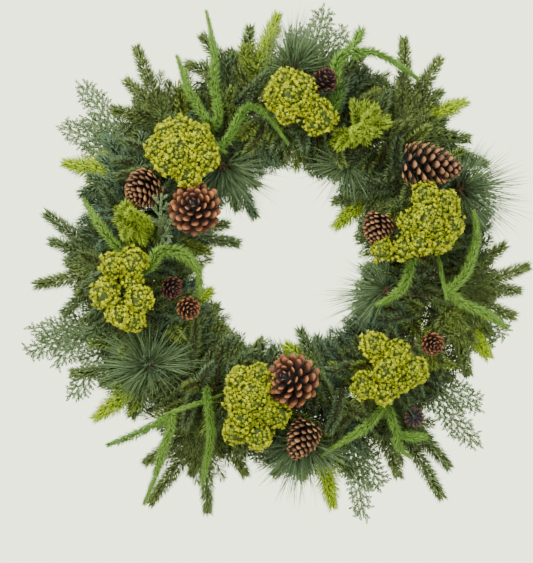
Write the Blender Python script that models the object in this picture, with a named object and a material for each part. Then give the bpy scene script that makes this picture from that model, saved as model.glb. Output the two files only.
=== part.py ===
"""Fresh evergreen wreath on a double-rail wire ring, hung by a wire loop.

Frame: metres, +Z up, +X to the right seen from the front, the front faces -Y.
The origin is where the hanging loop bears on its hook.  The planting plan below is written in
millimetres about the ring's centre, in one of two forms: (clock, radius, depth), where clock is
degrees clockwise from the top and depth is how far forward of the ring, or (x, z, depth).
Each sprig is bound to the ring by the end of its stem and fans out from there.  The layers, from
the back forward, are cedar, fir, pine and then cones, flower heads and foxtail tails.
"""

import math

import bmesh
import bpy
from mathutils import Matrix, Vector

MM = 0.001

# ring
INNER_RAIL = 166.0
OUTER_RAIL = 190.0
RAIL_WIRE = 2.0
RAIL_SEGMENTS = 30
RAIL_SIDES = 6
CROSS_BARS = 8

# hanging loop, and the ring's centre below its bearing point
LOOP_WIRE = 1.2
LOOP_RISE = 32.0
LOOP_HALF_WIDTH = 11.0
CLEARANCE = 0.4
CENTRE_DROP = OUTER_RAIL + LOOP_RISE
RING_BEHIND = RAIL_WIRE + LOOP_WIRE + CLEARANCE

# binding wire: one pass over the stems at every pitch of the clock
BINDING_WIRE = 0.8
BINDING_PITCH = 15.0
BINDING_FRONT = 9.5

# stems, laid along the ring under the binding wire
STEM = 2.2
STEM_SIDES = 4
STEM_DEPTH = 5.2
OUTWARD_LANE = 185.5
INWARD_LANE = 170.5
RISER_LANE = 178.0
FAN_CLEAR = 12.0

# half width and half thickness of one sprig of each kind, and the depth of its layer
FIR = {"half_width": 8.0, "half_thick": 6.0, "depth": 21.0}
CEDAR = {"half_width": 7.0, "half_thick": 2.4, "depth": 9.0}
PINE = {"half_width": 4.5, "half_thick": 4.0, "depth": 39.0}
LIME = {"half_width": 7.0, "half_thick": 6.5, "depth": 58.0}
LACE = {"half_width": 4.0, "half_thick": 2.4, "depth": 52.0}
SPRIG_SIDES = 4

FIR_SPRAYS = {
    "fir_spray_01": (318, [(311, 272), (318.5, 285), (325, 308)]),
    "fir_spray_02": (347, [(333, 262), (339.5, 284), (345, 258), (351.5, 280), (358.5, 292)]),
    "fir_spray_03": (12, [(7, 258), (14, 252), (21, 260)]),
    "fir_spray_04": (42, [(28.3, 298), (37.6, 303), (43, 274), (49, 286), (57, 262), (65, 266)]),
    "fir_spray_05": (
        101,
        [(86, 262), (91.6, 290), (97.5, 283), (104, 283), (110, 260), (116, 270), (122.5, 258)],
    ),
    "fir_spray_06": (146, [(141.6, 316), (146.6, 340), (152.5, 293)]),
    "fir_spray_07": (170, [(162, 272), (169, 301), (176, 262), (183, 258)]),
    "fir_spray_08": (205, [(190, 262), (197, 315), (203.5, 280), (209, 333), (214.5, 294)]),
    "fir_spray_09": (230, [(224, 262), (230, 296), (236, 265), (242, 288)]),
    "fir_spray_10": (267, [(256, 272), (264, 299), (269.5, 262), (274.6, 281), (281, 291)]),
    "fir_spray_11": (298, [(287.5, 256), (293.5, 287), (299, 252), (304.5, 258)]),
}

INNER_FIR_SPRAYS = {
    "inner_fir_01": (283, [(275, 98), (289, 56), (302, 78)]),
    "inner_fir_02": (327, [(316, 80), (325, 60), (340, 92)]),
    "inner_fir_03": (207, [(194, 99), (208, 112), (222, 106)]),
    "inner_fir_04": (164, [(147, 116), (157, 98), (168, 84), (180, 100)]),
    "inner_fir_05": (55, [(40, 88), (57, 69), (73, 92)]),
    "inner_fir_06": (242, [(233, 95), (247, 94)]),
}

# name: stem clock, then the tips
CEDAR_FRONDS = {
    "cedar_frond_01": (305, [(299, 268), (301, 308), (305.5, 290), (310.6, 317)]),
    "cedar_frond_02": (250, [(237, 300), (246, 298), (250, 326), (254, 312)]),
    "cedar_frond_03": (5, [(3, 272), (9, 299), (14.7, 280)]),
    "cedar_frond_04": (109, [(108, 275), (113, 268)]),
    "cedar_frond_05": (131, [(127, 290), (134, 318)]),
    "cedar_frond_06": (160, [(157, 292), (163, 319)]),
}

# name: stem clock, hub, then the tips
PINE_TUFTS = {
    "pine_tuft_01": (357.5, (2, 222), [(354, 268), (0.5, 292), (5.6, 301), (11, 275)]),
    "pine_tuft_02": (70, (68, 222), [(58, 272), (66, 290), (73, 298), (81, 284)]),
    "pine_tuft_03": (
        235,
        (232, 203),
        [(213, 146), (222, 240), (231, 268), (241, 262), (250, 236), (249, 172), (234, 150)],
    ),
    "pine_tuft_04": (325, (326, 134), [(296, 118), (308, 88), (336, 70), (351, 78), (357, 104)]),
    "pine_tuft_05": (109, (107, 126), [(84, 96), (104, 70), (128, 72), (143, 84), (140, 118)]),
    "pine_tuft_06": (179, (174, 214), [(163, 262), (171, 284), (178.8, 288), (186, 268)]),
    "pine_tuft_07": (34, (33, 136), [(11, 104), (24, 88), (44, 84), (58, 108)]),
}

LIME_TIPS = {
    "lime_tip_01": (288, (286, 184), [(-194, 50, 74), (-181, 51, 84), (-168, 45, 79), (-187, 26, 75), (-169, 22, 72)]),
    "lime_tip_02": (
        25.5,
        (29, 176),
        [(64, 132, 74), (80, 146, 84), (98, 150, 82), (120, 158, 72), (104, 176, 78), (80, 182, 70)],
    ),
}
LACE_SPRAYS = {
    "cedar_frond_07": (279.5, (-148, 26), [(-151, 60, 88), (-143, 74, 99), (-141, 50, 90), (-133, 26, 82)]),
}

# name: stem clock, then the tails, each a path of (x, z, depth)
FOXTAILS = {
    "foxtail_01": (
        331,
        [
            [(-72, 131, 54), (-83, 201, 56), (-83, 242, 54), (-92, 289, 50)],
            [(-76, 133, 54), (-90, 160, 57), (-112, 196, 58), (-126, 236, 55)],
            [(-66, 122, 54), (-60, 153, 60), (-45, 177, 64), (-22, 169, 66), (2, 137, 62)],
        ],
    ),
    "foxtail_02": (273.2, [[(-190, 4, 54), (-212, 32, 60), (-226, 52, 58), (-236, 68, 54)]]),
    "foxtail_03": (
        266.3,
        [[(-161, -14, 62), (-148, 7, 72), (-132, 9, 76), (-114, 1, 76), (-102, -14, 74), (-99, -38, 68)]],
    ),
    "foxtail_04": (
        18,
        [
            [(62, 197, 54), (59, 222, 58), (71, 238, 62), (97, 243, 64), (123, 234, 62), (152, 215, 56)],
            [(70, 236, 62), (80, 250, 58), (89, 267, 53)],
        ],
    ),
    "foxtail_05": (
        91.5,
        [
            [(148, -2, 60), (176, -27, 66), (206, -51, 66), (237, -65, 60), (259, -80, 54)],
            [(190, -39, 66), (210, -20, 66), (220, 5, 64), (225, 32, 60), (222, 54, 56)],
            [(142, -8, 60), (140, -31, 64), (125, -45, 66), (110, -53, 64)],
        ],
    ),
    "foxtail_06": (
        209.5,
        [
            [(-92, -158, 54), (-134, -184, 60), (-169, -203, 60), (-206, -218, 56)],
            [(-128, -182, 60), (-143, -221, 60), (-151, -251, 58), (-165, -286, 52)],
            [(-86, -170, 54), (-87, -204, 60), (-93, -242, 58), (-97, -264, 54)],
        ],
    ),
    "foxtail_07": (
        147,
        [
            [(120, -168, 54), (128, -195, 60), (140, -208, 62), (164, -209, 60)],
            [(128, -195, 60), (131, -212, 60), (136, -224, 58), (146, -232, 54)],
            [(116, -170, 54), (98, -195, 58), (77, -209, 60), (46, -229, 54)],
        ],
    ),
}
TAIL_RADIUS = 6.0
TAIL_SIDES = 4

# name: stem clock, then the lobes as (x, z, depth, radius)
FLOWER_HEADS = {
    "flower_head_01": (
        316,
        [
            (-122, 124, 97, 17), (-122, 148, 90, 13), (-101, 140, 92, 13), (-94, 118, 90, 13),
            (-112, 100, 90, 13), (-135, 111, 93, 11), (-146, 128, 88, 12), (-138, 146, 88, 10),
        ],
    ),
    "flower_head_02": (
        5,
        [(6, 190, 92, 14), (19, 201, 88, 11), (0, 207, 88, 11), (-9, 188, 86, 11), (2, 173, 86, 11),
         (21, 183, 88, 11), (36, 174, 84, 11), (46, 163, 84, 11), (34, 159, 82, 9)],
    ),
    "flower_head_03": (
        77,
        [
            (168, 46, 97, 17), (164, 72, 90, 13), (186, 62, 90, 13), (192, 42, 88, 12), (180, 24, 88, 13),
            (158, 22, 88, 12), (146, 42, 88, 11), (139, 12, 84, 10), (114, 11, 80, 10),
        ],
    ),
    "flower_head_04": (
        261,
        [(-201, -8, 84, 11), (-177, -4, 86, 13), (-178, -28, 80, 10), (-210, -40, 84, 13),
         (-193, -64, 82, 11), (-170, -48, 84, 12), (-176, -72, 80, 10)],
    ),
    "flower_head_05": (
        191,
        [
            (-38, -160, 96, 16), (-52, -142, 88, 12), (-30, -138, 88, 12), (-56, -164, 88, 12),
            (-48, -184, 88, 12), (-24, -176, 88, 12), (-8, -183, 82, 10), (-57, -200, 82, 11),
            (-30, -206, 84, 12),
        ],
    ),
    "flower_head_06": (
        134,
        [(118, -129, 90, 13), (104, -101, 84, 12), (131, -112, 84, 11), (150, -131, 84, 12),
         (93, -148, 82, 12), (116, -153, 82, 12), (134, -143, 82, 10)],
    ),
}

# name: pick clock, base (x, z, depth), tip (x, z, depth), largest radius
PINE_CONES = {
    "pine_cone_01": (301.5, (-147, 96, 60), (-182, 69, 84), 24),
    "pine_cone_02": (294, (-103, 52, 60), (-108, 66, 116), 31),
    "pine_cone_03": (14, (40, 196, 62), (52, 220, 84), 16),
    "pine_cone_04": (47, (118, 115, 78), (206, 104, 84), 27),
    "pine_cone_05": (62, (118, 60, 72), (100, 18, 80), 19),
    "pine_cone_06": (255.3, (-139, -30, 54), (-126, -38, 72), 14),
    "pine_cone_07": (240.5, (-118, -54, 60), (-108, -62, 90), 14),
    "pine_cone_08": (174.8, (20, -148, 64), (-4, -134, 112), 32),
    "pine_cone_09": (167, (35, -180, 66), (9, -234, 78), 20),
    "pine_cone_10": (119.5, (170, -97, 56), (175, -102, 84), 14),
    "pine_cone_11": (140, (150, -184, 84), (152, -186, 58), 16),
}
CONE_SIDES = 7
CONE_TIERS = 4

COLOURS = {
    "wire": ((0.10, 0.13, 0.09, 1.0), 0.45, 0.8),
    "fir": ((0.09, 0.15, 0.04, 1.0), 0.55, 0.0),
    "cedar": ((0.20, 0.28, 0.14, 1.0), 0.60, 0.0),
    "pine": ((0.04, 0.10, 0.06, 1.0), 0.50, 0.0),
    "lime": ((0.33, 0.45, 0.05, 1.0), 0.55, 0.0),
    "foxtail": ((0.16, 0.38, 0.07, 1.0), 0.60, 0.0),
    "flower": ((0.55, 0.55, 0.05, 1.0), 0.65, 0.0),
    "cone": ((0.13, 0.05, 0.02, 1.0), 0.55, 0.0),
}


def about_ring(x, z, depth):
    """The place, in metres, of a point x, z, depth given in millimetres about the ring's centre."""
    return Vector((x, -RING_BEHIND - depth, z - CENTRE_DROP)) * MM


def on_clock(clock, radius, depth):
    """The place, in metres, of a point given by its clock angle, radius and depth."""
    angle = math.radians(clock)
    return about_ring(radius * math.sin(angle), radius * math.cos(angle), depth)


def finish_named(name):
    """The Principled material of that name, made once."""
    if name in bpy.data.materials:
        return bpy.data.materials[name]
    colour, roughness, metallic = COLOURS[name]
    material = bpy.data.materials.new(name)
    material.use_nodes = True
    shader = material.node_tree.nodes["Principled BSDF"]
    shader.inputs["Base Color"].default_value = colour
    shader.inputs["Roughness"].default_value = roughness
    shader.inputs["Metallic"].default_value = metallic
    return material


def object_from(name, shape, material):
    """An object that holds the bmesh shape, which is freed."""
    mesh = bpy.data.meshes.new(name)
    bmesh.ops.recalc_face_normals(shape, faces=shape.faces)
    shape.to_mesh(mesh)
    shape.free()
    mesh.materials.append(finish_named(material))
    made = bpy.data.objects.new(name, mesh)
    bpy.context.scene.collection.objects.link(made)
    return made


def smooth(points, steps):
    """Points on a Catmull-Rom curve through points, steps to each stretch."""
    held = [points[0] * 2 - points[1], *points, points[-1] * 2 - points[-2]]
    curve = []
    for a, b, c, d in zip(held, held[1:], held[2:], held[3:]):
        for k in range(steps):
            t = k / steps
            curve.append(
                0.5 * (2 * b + (c - a) * t + (2 * a - 5 * b + 4 * c - d) * t * t
                       + (3 * b - a - 3 * c + d) * t ** 3)
            )
    return curve + [points[-1]]


def add_tube(shape, points, sizes, sides, pointed=True):
    """Adds a closed tube along points; sizes gives its (half width, half thickness) at each, in millimetres.

    The width lies in the ring's plane where the tube does.  A pointed end closes on one vertex."""
    tangents = []
    for k in range(len(points)):
        ahead = points[min(k + 1, len(points) - 1)]
        behind = points[max(k - 1, 0)]
        tangents.append((ahead - behind).normalized())
    across = tangents[-1].cross(Vector((0, 1, 0)))
    if across.length < 0.2:
        across = tangents[-1].cross(Vector((1, 0, 0)))
    frames = [across.normalized()]
    for k in range(len(points) - 1, 0, -1):
        turn = tangents[k].rotation_difference(tangents[k - 1])
        frames.append((turn @ frames[-1]).normalized())
    frames.reverse()
    rings = []
    for point, tangent, width_way, (half_width, half_thick) in zip(points, tangents, frames, sizes):
        thick_way = tangent.cross(width_way).normalized()
        ring = []
        for k in range(sides):
            angle = math.tau * (k + 0.5) / sides
            offset = width_way * (math.cos(angle) * half_width) + thick_way * (math.sin(angle) * half_thick)
            ring.append(shape.verts.new(point + offset * MM))
        rings.append(ring)
    for low, high in zip(rings, rings[1:]):
        for k in range(sides):
            after = (k + 1) % sides
            shape.faces.new((low[k], low[after], high[after], high[k]))
    shape.faces.new(rings[0][::-1])
    if pointed:
        reach = sizes[-1][1] * 0.8 * MM
        apex = shape.verts.new(points[-1] + tangents[-1] * reach)
        for k in range(sides):
            shape.faces.new((rings[-1][k], rings[-1][(k + 1) % sides], apex))
    else:
        shape.faces.new(rings[-1])


def add_ball(shape, centre, radius, segments=5, rings=3, flat=0.85):
    """Adds a closed ball, a little flatter from front to back; radius is in millimetres."""
    place = Matrix.Translation(centre) @ Matrix.Rotation(0.4, 4, "Z") @ Matrix.Diagonal((1, flat, 1, 1))
    bmesh.ops.create_uvsphere(shape, u_segments=segments, v_segments=rings, radius=radius * MM, matrix=place)


def fused(name, shape, material):
    """One body from the overlapping closed bodies in shape."""
    made = object_from(name, shape, material)
    seed = bmesh.new()
    first = made.data.vertices[0].co
    bmesh.ops.create_cube(seed, size=0.4 * MM, matrix=Matrix.Translation(first))
    helper = object_from(name + "_seed", seed, material)
    union = made.modifiers.new("fuse", "BOOLEAN")
    union.operation = "UNION"
    union.solver = "EXACT"
    union.use_self = True
    union.object = helper
    depsgraph = bpy.context.evaluated_depsgraph_get()
    joined = bpy.data.meshes.new_from_object(made.evaluated_get(depsgraph))
    made.modifiers.clear()
    made.data = joined
    bpy.data.objects.remove(helper)
    made.data.materials.clear()
    made.data.materials.append(finish_named(material))
    made.data.shade_smooth()
    return made


def stem_sizes(count):
    """The size of a bare stem at each of count points."""
    return [(STEM, STEM)] * count


def stem_tail(clock, lane, length):
    """The end of a stem, laid along the ring under the binding wire."""
    return [on_clock(clock - length, lane, STEM_DEPTH), on_clock(clock - 0.6, lane, STEM_DEPTH)]


def needle_sleeve(half_width, half_thick):
    """The sizes of a leafy sprig from where the stem is bare to its blunt tip."""
    shares = (0.45, 0.95, 1.0, 0.6)
    return [(half_width * s, half_thick * s) for s in shares]


def add_sprig(shape, root, tip, kind, sag=0.0):
    """Adds one leafy sprig from root to tip, a little bowed."""
    places = (0.0, 0.35, 0.82, 1.0)
    path = []
    for t in places:
        point = root.lerp(tip, t)
        point.z -= sag * MM * 4 * t * (1 - t)
        path.append(point)
    add_tube(shape, path, needle_sleeve(kind["half_width"], kind["half_thick"]), SPRIG_SIDES)


def fan(name, clock, tips, kind, lane, material):
    """A spray whose sprigs fan out of one stem, away from the ring or into its hole."""
    outward = 1 if lane == OUTWARD_LANE else -1
    depth = kind["depth"]
    root = on_clock(clock, lane + outward * FAN_CLEAR * 1.7, depth)
    shape = bmesh.new()
    stem = stem_tail(clock, lane, 6.0)
    stem.append(on_clock(clock, lane + outward * 4, (STEM_DEPTH + depth) / 2))
    stem.append(root)
    stem.append(root.lerp(on_clock(clock, lane + outward * 40, depth), 0.3))
    add_tube(shape, stem, stem_sizes(len(stem)), STEM_SIDES)
    for tip_clock, tip_radius in tips:
        add_sprig(shape, root, on_clock(tip_clock, tip_radius, depth), kind)
    return fused(name, shape, material)


def riser(clock, top_depth, goal):
    """A bare stem from under the binding wire straight forward, then over to goal."""
    path = stem_tail(clock, RISER_LANE, 4.0)
    path.append(on_clock(clock, RISER_LANE, STEM_DEPTH + 6))
    path.append(on_clock(clock, RISER_LANE, top_depth))
    path.append(goal)
    return path


def tuft(name, clock, hub, tips, kind, material):
    """A tuft whose sprigs radiate from a hub at the end of a riser."""
    depth = kind["depth"]
    centre = on_clock(*hub, depth)
    shape = bmesh.new()
    stem = riser(clock, depth - 3, centre)
    add_tube(shape, stem, stem_sizes(len(stem)), STEM_SIDES)
    add_ball(shape, centre, kind["half_thick"] + 1.5)
    for tip_clock, tip_radius in tips:
        add_sprig(shape, centre, on_clock(tip_clock, tip_radius, depth), kind)
    return fused(name, shape, material)


def forward_tuft(name, clock, centre, tips, kind, material):
    """A tuft whose sprigs reach forward to tips given as (x, z, depth)."""
    shape = bmesh.new()
    stem = riser(clock, centre[2] - 6, about_ring(*centre))
    add_tube(shape, stem, stem_sizes(len(stem)), STEM_SIDES)
    add_ball(shape, about_ring(*centre), kind["half_thick"])
    for tip in tips:
        add_sprig(shape, about_ring(*centre), about_ring(*tip), kind)
    return fused(name, shape, material)


def foxtail(name, clock, tails):
    """Soft tapering tails from one stem."""
    shape = bmesh.new()
    first = about_ring(*tails[0][0])
    stem = riser(clock, tails[0][0][2] - 4, first)
    add_tube(shape, stem, stem_sizes(len(stem)), STEM_SIDES)
    add_ball(shape, first, 5.0)
    for number, tail in enumerate(tails):
        places = [about_ring(*point) for point in tail]
        if number and (places[0] - first).length < 16 * MM:
            places[0] = first
        path = smooth(places, 2)
        sizes = []
        for k in range(len(path)):
            t = k / (len(path) - 1)
            radius = TAIL_RADIUS * (0.55 + 1.2 * t - 1.45 * t * t)
            sizes.append((radius, radius))
        add_tube(shape, path, sizes, TAIL_SIDES)
    return fused(name, shape, "foxtail")


def flower_head(name, clock, lobes):
    """A domed head of flower clusters on rays that part from one stalk."""
    shape = bmesh.new()
    centre = Vector()
    for x, z, depth, _ in lobes:
        centre += Vector((x, z, depth)) / len(lobes)
    fork = about_ring(centre[0], centre[1], centre[2] - 30)
    stalk = riser(clock, 44, fork)
    add_tube(shape, stalk, stem_sizes(len(stalk)), STEM_SIDES)
    add_ball(shape, fork, 3.4)
    for x, z, depth, radius in lobes:
        middle = about_ring(x, z, depth)
        add_tube(shape, [fork, middle], [(1.8, 1.8)] * 2, 3)
        add_ball(shape, middle, radius)
    return fused(name, shape, "flower")


def cone_radius(t, largest):
    """The radius of a pine cone's outline at the share t of its length from the base."""
    return largest * math.sin(math.pi * (0.13 + 0.87 * t) ** 0.72) ** 0.62


def pine_cone(name, clock, base, tip, largest):
    """A cone of tiers of scales on its wire pick."""
    foot, point = about_ring(*base), about_ring(*tip)
    axis = (point - foot).normalized()
    turn = axis.to_track_quat("Z", "X")
    length = (point - foot).length
    shape = bmesh.new()
    rings = []
    for tier in range(CONE_TIERS):
        for share, lip in ((0.25, 0.86), (0.8, 1.0)):
            t = (tier + share) / CONE_TIERS
            radius = cone_radius(t, largest) * lip
            ring = []
            for k in range(CONE_SIDES):
                angle = math.tau * (k + 0.5 * (tier % 2)) / CONE_SIDES
                local = Vector((math.cos(angle) * radius * MM, math.sin(angle) * radius * MM, t * length))
                ring.append(shape.verts.new(foot + turn @ local))
            rings.append(ring)
    for low, high in zip(rings, rings[1:]):
        for k in range(CONE_SIDES):
            after = (k + 1) % CONE_SIDES
            shape.faces.new((low[k], low[after], high[after], high[k]))
    shape.faces.new(rings[0][::-1])
    crown = shape.verts.new(point)
    for k in range(CONE_SIDES):
        shape.faces.new((rings[-1][k], rings[-1][(k + 1) % CONE_SIDES], crown))
    seat = foot + axis * (3 + 0.1 * length / MM) * MM
    pick = riser(clock, min(base[2], tip[2]) - 12, seat)
    add_tube(shape, pick, [(1.3, 1.3)] * len(pick), 4)
    return fused(name, shape, "cone")


def ring_frame():
    """Two rails of wire joined by cross bars, one welded body."""
    shape = bmesh.new()
    for radius in (INNER_RAIL, OUTER_RAIL):
        rows = []
        for step in range(RAIL_SEGMENTS):
            clock = 360.0 * step / RAIL_SEGMENTS
            row = []
            for side in range(RAIL_SIDES):
                angle = math.radians(30 + 360.0 * side / RAIL_SIDES)
                reach = radius + RAIL_WIRE * math.sin(angle)
                row.append(shape.verts.new(on_clock(clock, reach, -RAIL_WIRE * math.cos(angle))))
            rows.append(row)
        for step in range(RAIL_SEGMENTS):
            here, there = rows[step], rows[(step + 1) % RAIL_SEGMENTS]
            for side in range(RAIL_SIDES):
                after = (side + 1) % RAIL_SIDES
                shape.faces.new((here[side], here[after], there[after], there[side]))
    for bar in range(CROSS_BARS):
        clock = 360.0 * (bar + 0.5) / CROSS_BARS
        ends = [on_clock(clock, INNER_RAIL - 0.5, 0.0), on_clock(clock, OUTER_RAIL + 0.5, 0.0)]
        add_tube(shape, ends, [(1.3, 1.3)] * 2, 5, pointed=False)
    made = fused("ring_frame", shape, "wire")
    made.data.set_sharp_from_angle(angle=math.radians(25))
    return made


def hanging_loop():
    """A loop of wire hooked under the outer rail and standing above the ring."""
    hook = RAIL_WIRE + LOOP_WIRE + CLEARANCE
    side = []
    side.append((4.0, OUTER_RAIL - hook, -hook * 0.6))
    side.append((4.2, OUTER_RAIL - hook * 0.6, -hook))
    side.append((4.6, OUTER_RAIL + 6, -hook))
    side.append((LOOP_HALF_WIDTH, OUTER_RAIL + LOOP_RISE * 0.62, -hook))
    side.append((LOOP_HALF_WIDTH * 0.72, OUTER_RAIL + LOOP_RISE * 0.92, -hook))
    lead = [(4.2, OUTER_RAIL - hook * 0.75, hook * 0.75), (4.1, OUTER_RAIL - hook * 1.05, 0.0)]
    right = lead + side
    top = [(0.0, OUTER_RAIL + LOOP_RISE + LOOP_WIRE, -hook)]
    left = [(-x, z, depth) for x, z, depth in reversed(right)]
    path = [about_ring(*point) for point in right + top + left]
    shape = bmesh.new()
    add_tube(shape, path, [(LOOP_WIRE, LOOP_WIRE)] * len(path), 6, pointed=False)
    made = object_from("hanging_loop", shape, "wire")
    made.data.shade_smooth()
    return made


def eased(points, reach):
    """The path with each inner corner cut at reach millimetres from it."""
    path = [points[0]]
    for behind, corner, ahead in zip(points, points[1:], points[2:]):
        path.append(corner + (behind - corner).normalized() * reach * MM)
        path.append(corner + (ahead - corner).normalized() * reach * MM)
    return path + [points[-1]]


def binding_wire():
    """Thin wire wound on round the rails and the stems, all the way round the ring."""
    reach = RAIL_WIRE + BINDING_WIRE + CLEARANCE
    turns = round(360 / BINDING_PITCH)
    inside = INNER_RAIL * math.cos(math.pi / RAIL_SEGMENTS) - reach
    outside = OUTER_RAIL + reach
    path = []
    for turn in range(turns):
        clock = BINDING_PITCH * (turn + 0.5)
        path.append(on_clock(clock, inside, BINDING_FRONT))
        path.append(on_clock(clock, outside, BINDING_FRONT))
        path.append(on_clock(clock + BINDING_PITCH * 0.1, outside, -reach))
        path.append(on_clock(clock + BINDING_PITCH * 0.9, inside, -reach))
    path = eased(path, 2 * BINDING_WIRE)
    shape = bmesh.new()
    add_tube(shape, path, [(BINDING_WIRE, BINDING_WIRE)] * len(path), 4, pointed=False)
    return object_from("binding_wire", shape, "wire")


def build_wreath():
    """Builds every piece of the wreath."""
    ring_frame()
    hanging_loop()
    binding_wire()
    for name, (clock, tips) in FIR_SPRAYS.items():
        fan(name, clock, tips, FIR, OUTWARD_LANE, "fir")
    for name, (clock, tips) in INNER_FIR_SPRAYS.items():
        fan(name, clock, tips, FIR, INWARD_LANE, "fir")
    for name, (clock, tips) in CEDAR_FRONDS.items():
        fan(name, clock, tips, CEDAR, OUTWARD_LANE, "cedar")
    for name, (clock, hub, tips) in PINE_TUFTS.items():
        tuft(name, clock, hub, tips, PINE, "pine")
    for name, (clock, hub, tips) in LIME_TIPS.items():
        angle = math.radians(hub[0])
        centre = (hub[1] * math.sin(angle), hub[1] * math.cos(angle), LIME["depth"])
        forward_tuft(name, clock, centre, tips, LIME, "lime")
    for name, (clock, hub, tips) in LACE_SPRAYS.items():
        forward_tuft(name, clock, (*hub, LACE["depth"]), tips, LACE, "cedar")
    for name, (clock, tails) in FOXTAILS.items():
        foxtail(name, clock, tails)
    for name, (clock, lobes) in FLOWER_HEADS.items():
        flower_head(name, clock, lobes)
    for name, (clock, base, tip, largest) in PINE_CONES.items():
        pine_cone(name, clock, base, tip, largest)


for old in list(bpy.data.objects):
    bpy.data.objects.remove(old)
build_wreath()
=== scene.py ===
"""Looks of the fresh evergreen wreath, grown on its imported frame.

Every sprig, tail, flower head and cone follows the centre lines of the CAD solid it stands for.
The needles, leaves, florets and cone scales are planted by Geometry Nodes.
"""

import logging
import math
import random
from dataclasses import dataclass, field
from enum import Enum
from typing import Any, Optional, Sequence, Union

import bmesh
import bpy
import numpy as np
from mathutils import Matrix, Vector
from mathutils.bvhtree import BVHTree


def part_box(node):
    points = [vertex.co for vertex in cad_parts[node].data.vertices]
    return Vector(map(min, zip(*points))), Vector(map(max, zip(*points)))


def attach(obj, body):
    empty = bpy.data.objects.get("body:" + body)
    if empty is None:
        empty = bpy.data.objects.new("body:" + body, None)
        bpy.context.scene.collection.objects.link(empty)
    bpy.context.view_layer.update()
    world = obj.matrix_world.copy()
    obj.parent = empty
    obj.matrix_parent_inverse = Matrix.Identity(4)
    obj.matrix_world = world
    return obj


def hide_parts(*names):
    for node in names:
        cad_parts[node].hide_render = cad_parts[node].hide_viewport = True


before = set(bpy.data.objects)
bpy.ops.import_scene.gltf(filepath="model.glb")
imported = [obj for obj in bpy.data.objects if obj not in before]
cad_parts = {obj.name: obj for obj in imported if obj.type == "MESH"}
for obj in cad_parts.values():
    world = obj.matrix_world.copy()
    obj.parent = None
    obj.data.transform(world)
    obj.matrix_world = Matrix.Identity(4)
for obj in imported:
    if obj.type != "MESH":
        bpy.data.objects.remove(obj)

LOG = logging.getLogger("wreath")
MM = 0.001
FORWARD = Vector((0.0, -1.0, 0.0))
GOLDEN_ANGLE = math.pi * (3.0 - math.sqrt(5.0))
WELD = 0.02 * MM
WALL_PLAY = 1.0 * MM
WALL_PRESS = 0.1
BAKE_MAP = "OFBake"
CELL_MARGIN = 0.1
# the share of leaves that a fully shaded twig drops
SHADED_LEAF_LOSS = 0.45
# each line of a fir sprig: its shift forward in millimetres, and its leaf sizes at root, middle and tip
SPRIG_LINES = ((0.0, (0.85, 1.05, 0.9)), (1.5, (0.85, 1.0, 0.85)), (0.8, (0.6, 0.75, 0.65)))
SIDE_SHOOT_SHARES = (0.05, 0.17, 0.3)
# how many of the filling shoots are young, and how young they are
FILL_YOUNG_SHARE = 0.12
FILL_YOUTH = 0.35
AMBIENT_COLOUR = (0.98, 1.0, 0.96)

Colour = tuple[float, float, float]


def linear(red: int, green: int, blue: int) -> Colour:
    """A display colour, 0 to 255, as scene-linear values."""
    return tuple(((channel / 255.0 + 0.055) / 1.055) ** 2.4 for channel in (red, green, blue))


# --------------------------------------------------------------------------- node building


class Wire:
    """One output socket, on which Python's operators add Math nodes."""

    def __init__(self, nodes: "Nodes", socket: bpy.types.NodeSocket) -> None:
        """Wraps socket, of the tree that nodes builds."""
        self.nodes = nodes
        self.socket = socket

    def maths(self, operation: str, *others: Union[float, "Wire"]) -> "Wire":
        """Adds a Math node.

        Args:
            operation: the Math node's operation.
            others: its further inputs, numbers or wires.
        Returns:
            The node's result.
        """
        values = dict(enumerate((self, *others)))
        return self.nodes.add("ShaderNodeMath", {"operation": operation}, values)

    def _reflected(self, operation: str, first: float) -> "Wire":
        """A Math node whose first input is a number."""
        return self.nodes.add("ShaderNodeMath", {"operation": operation}, {0: first, 1: self})

    def __add__(self, other: Union[float, "Wire"]) -> "Wire":
        """The sum."""
        return self.maths("ADD", other)

    __radd__ = __add__

    def __sub__(self, other: Union[float, "Wire"]) -> "Wire":
        """The difference."""
        return self.maths("SUBTRACT", other)

    def __rsub__(self, other: float) -> "Wire":
        """The reflected difference."""
        return self._reflected("SUBTRACT", other)

    def __mul__(self, other: Union[float, "Wire"]) -> "Wire":
        """The product."""
        return self.maths("MULTIPLY", other)

    __rmul__ = __mul__

    def __truediv__(self, other: Union[float, "Wire"]) -> "Wire":
        """The quotient."""
        return self.maths("DIVIDE", other)

    def __rtruediv__(self, other: float) -> "Wire":
        """The reflected quotient."""
        return self._reflected("DIVIDE", other)

    def __pow__(self, other: Union[float, "Wire"]) -> "Wire":
        """The power."""
        return self.maths("POWER", other)

    def __gt__(self, other: Union[float, "Wire"]) -> "Wire":
        """One where this is the greater, else zero."""
        return self.maths("GREATER_THAN", other)

    def clamped(self) -> "Wire":
        """This value held between 0 and 1."""
        return self.nodes.add("ShaderNodeClamp", {}, {0: self})


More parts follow.
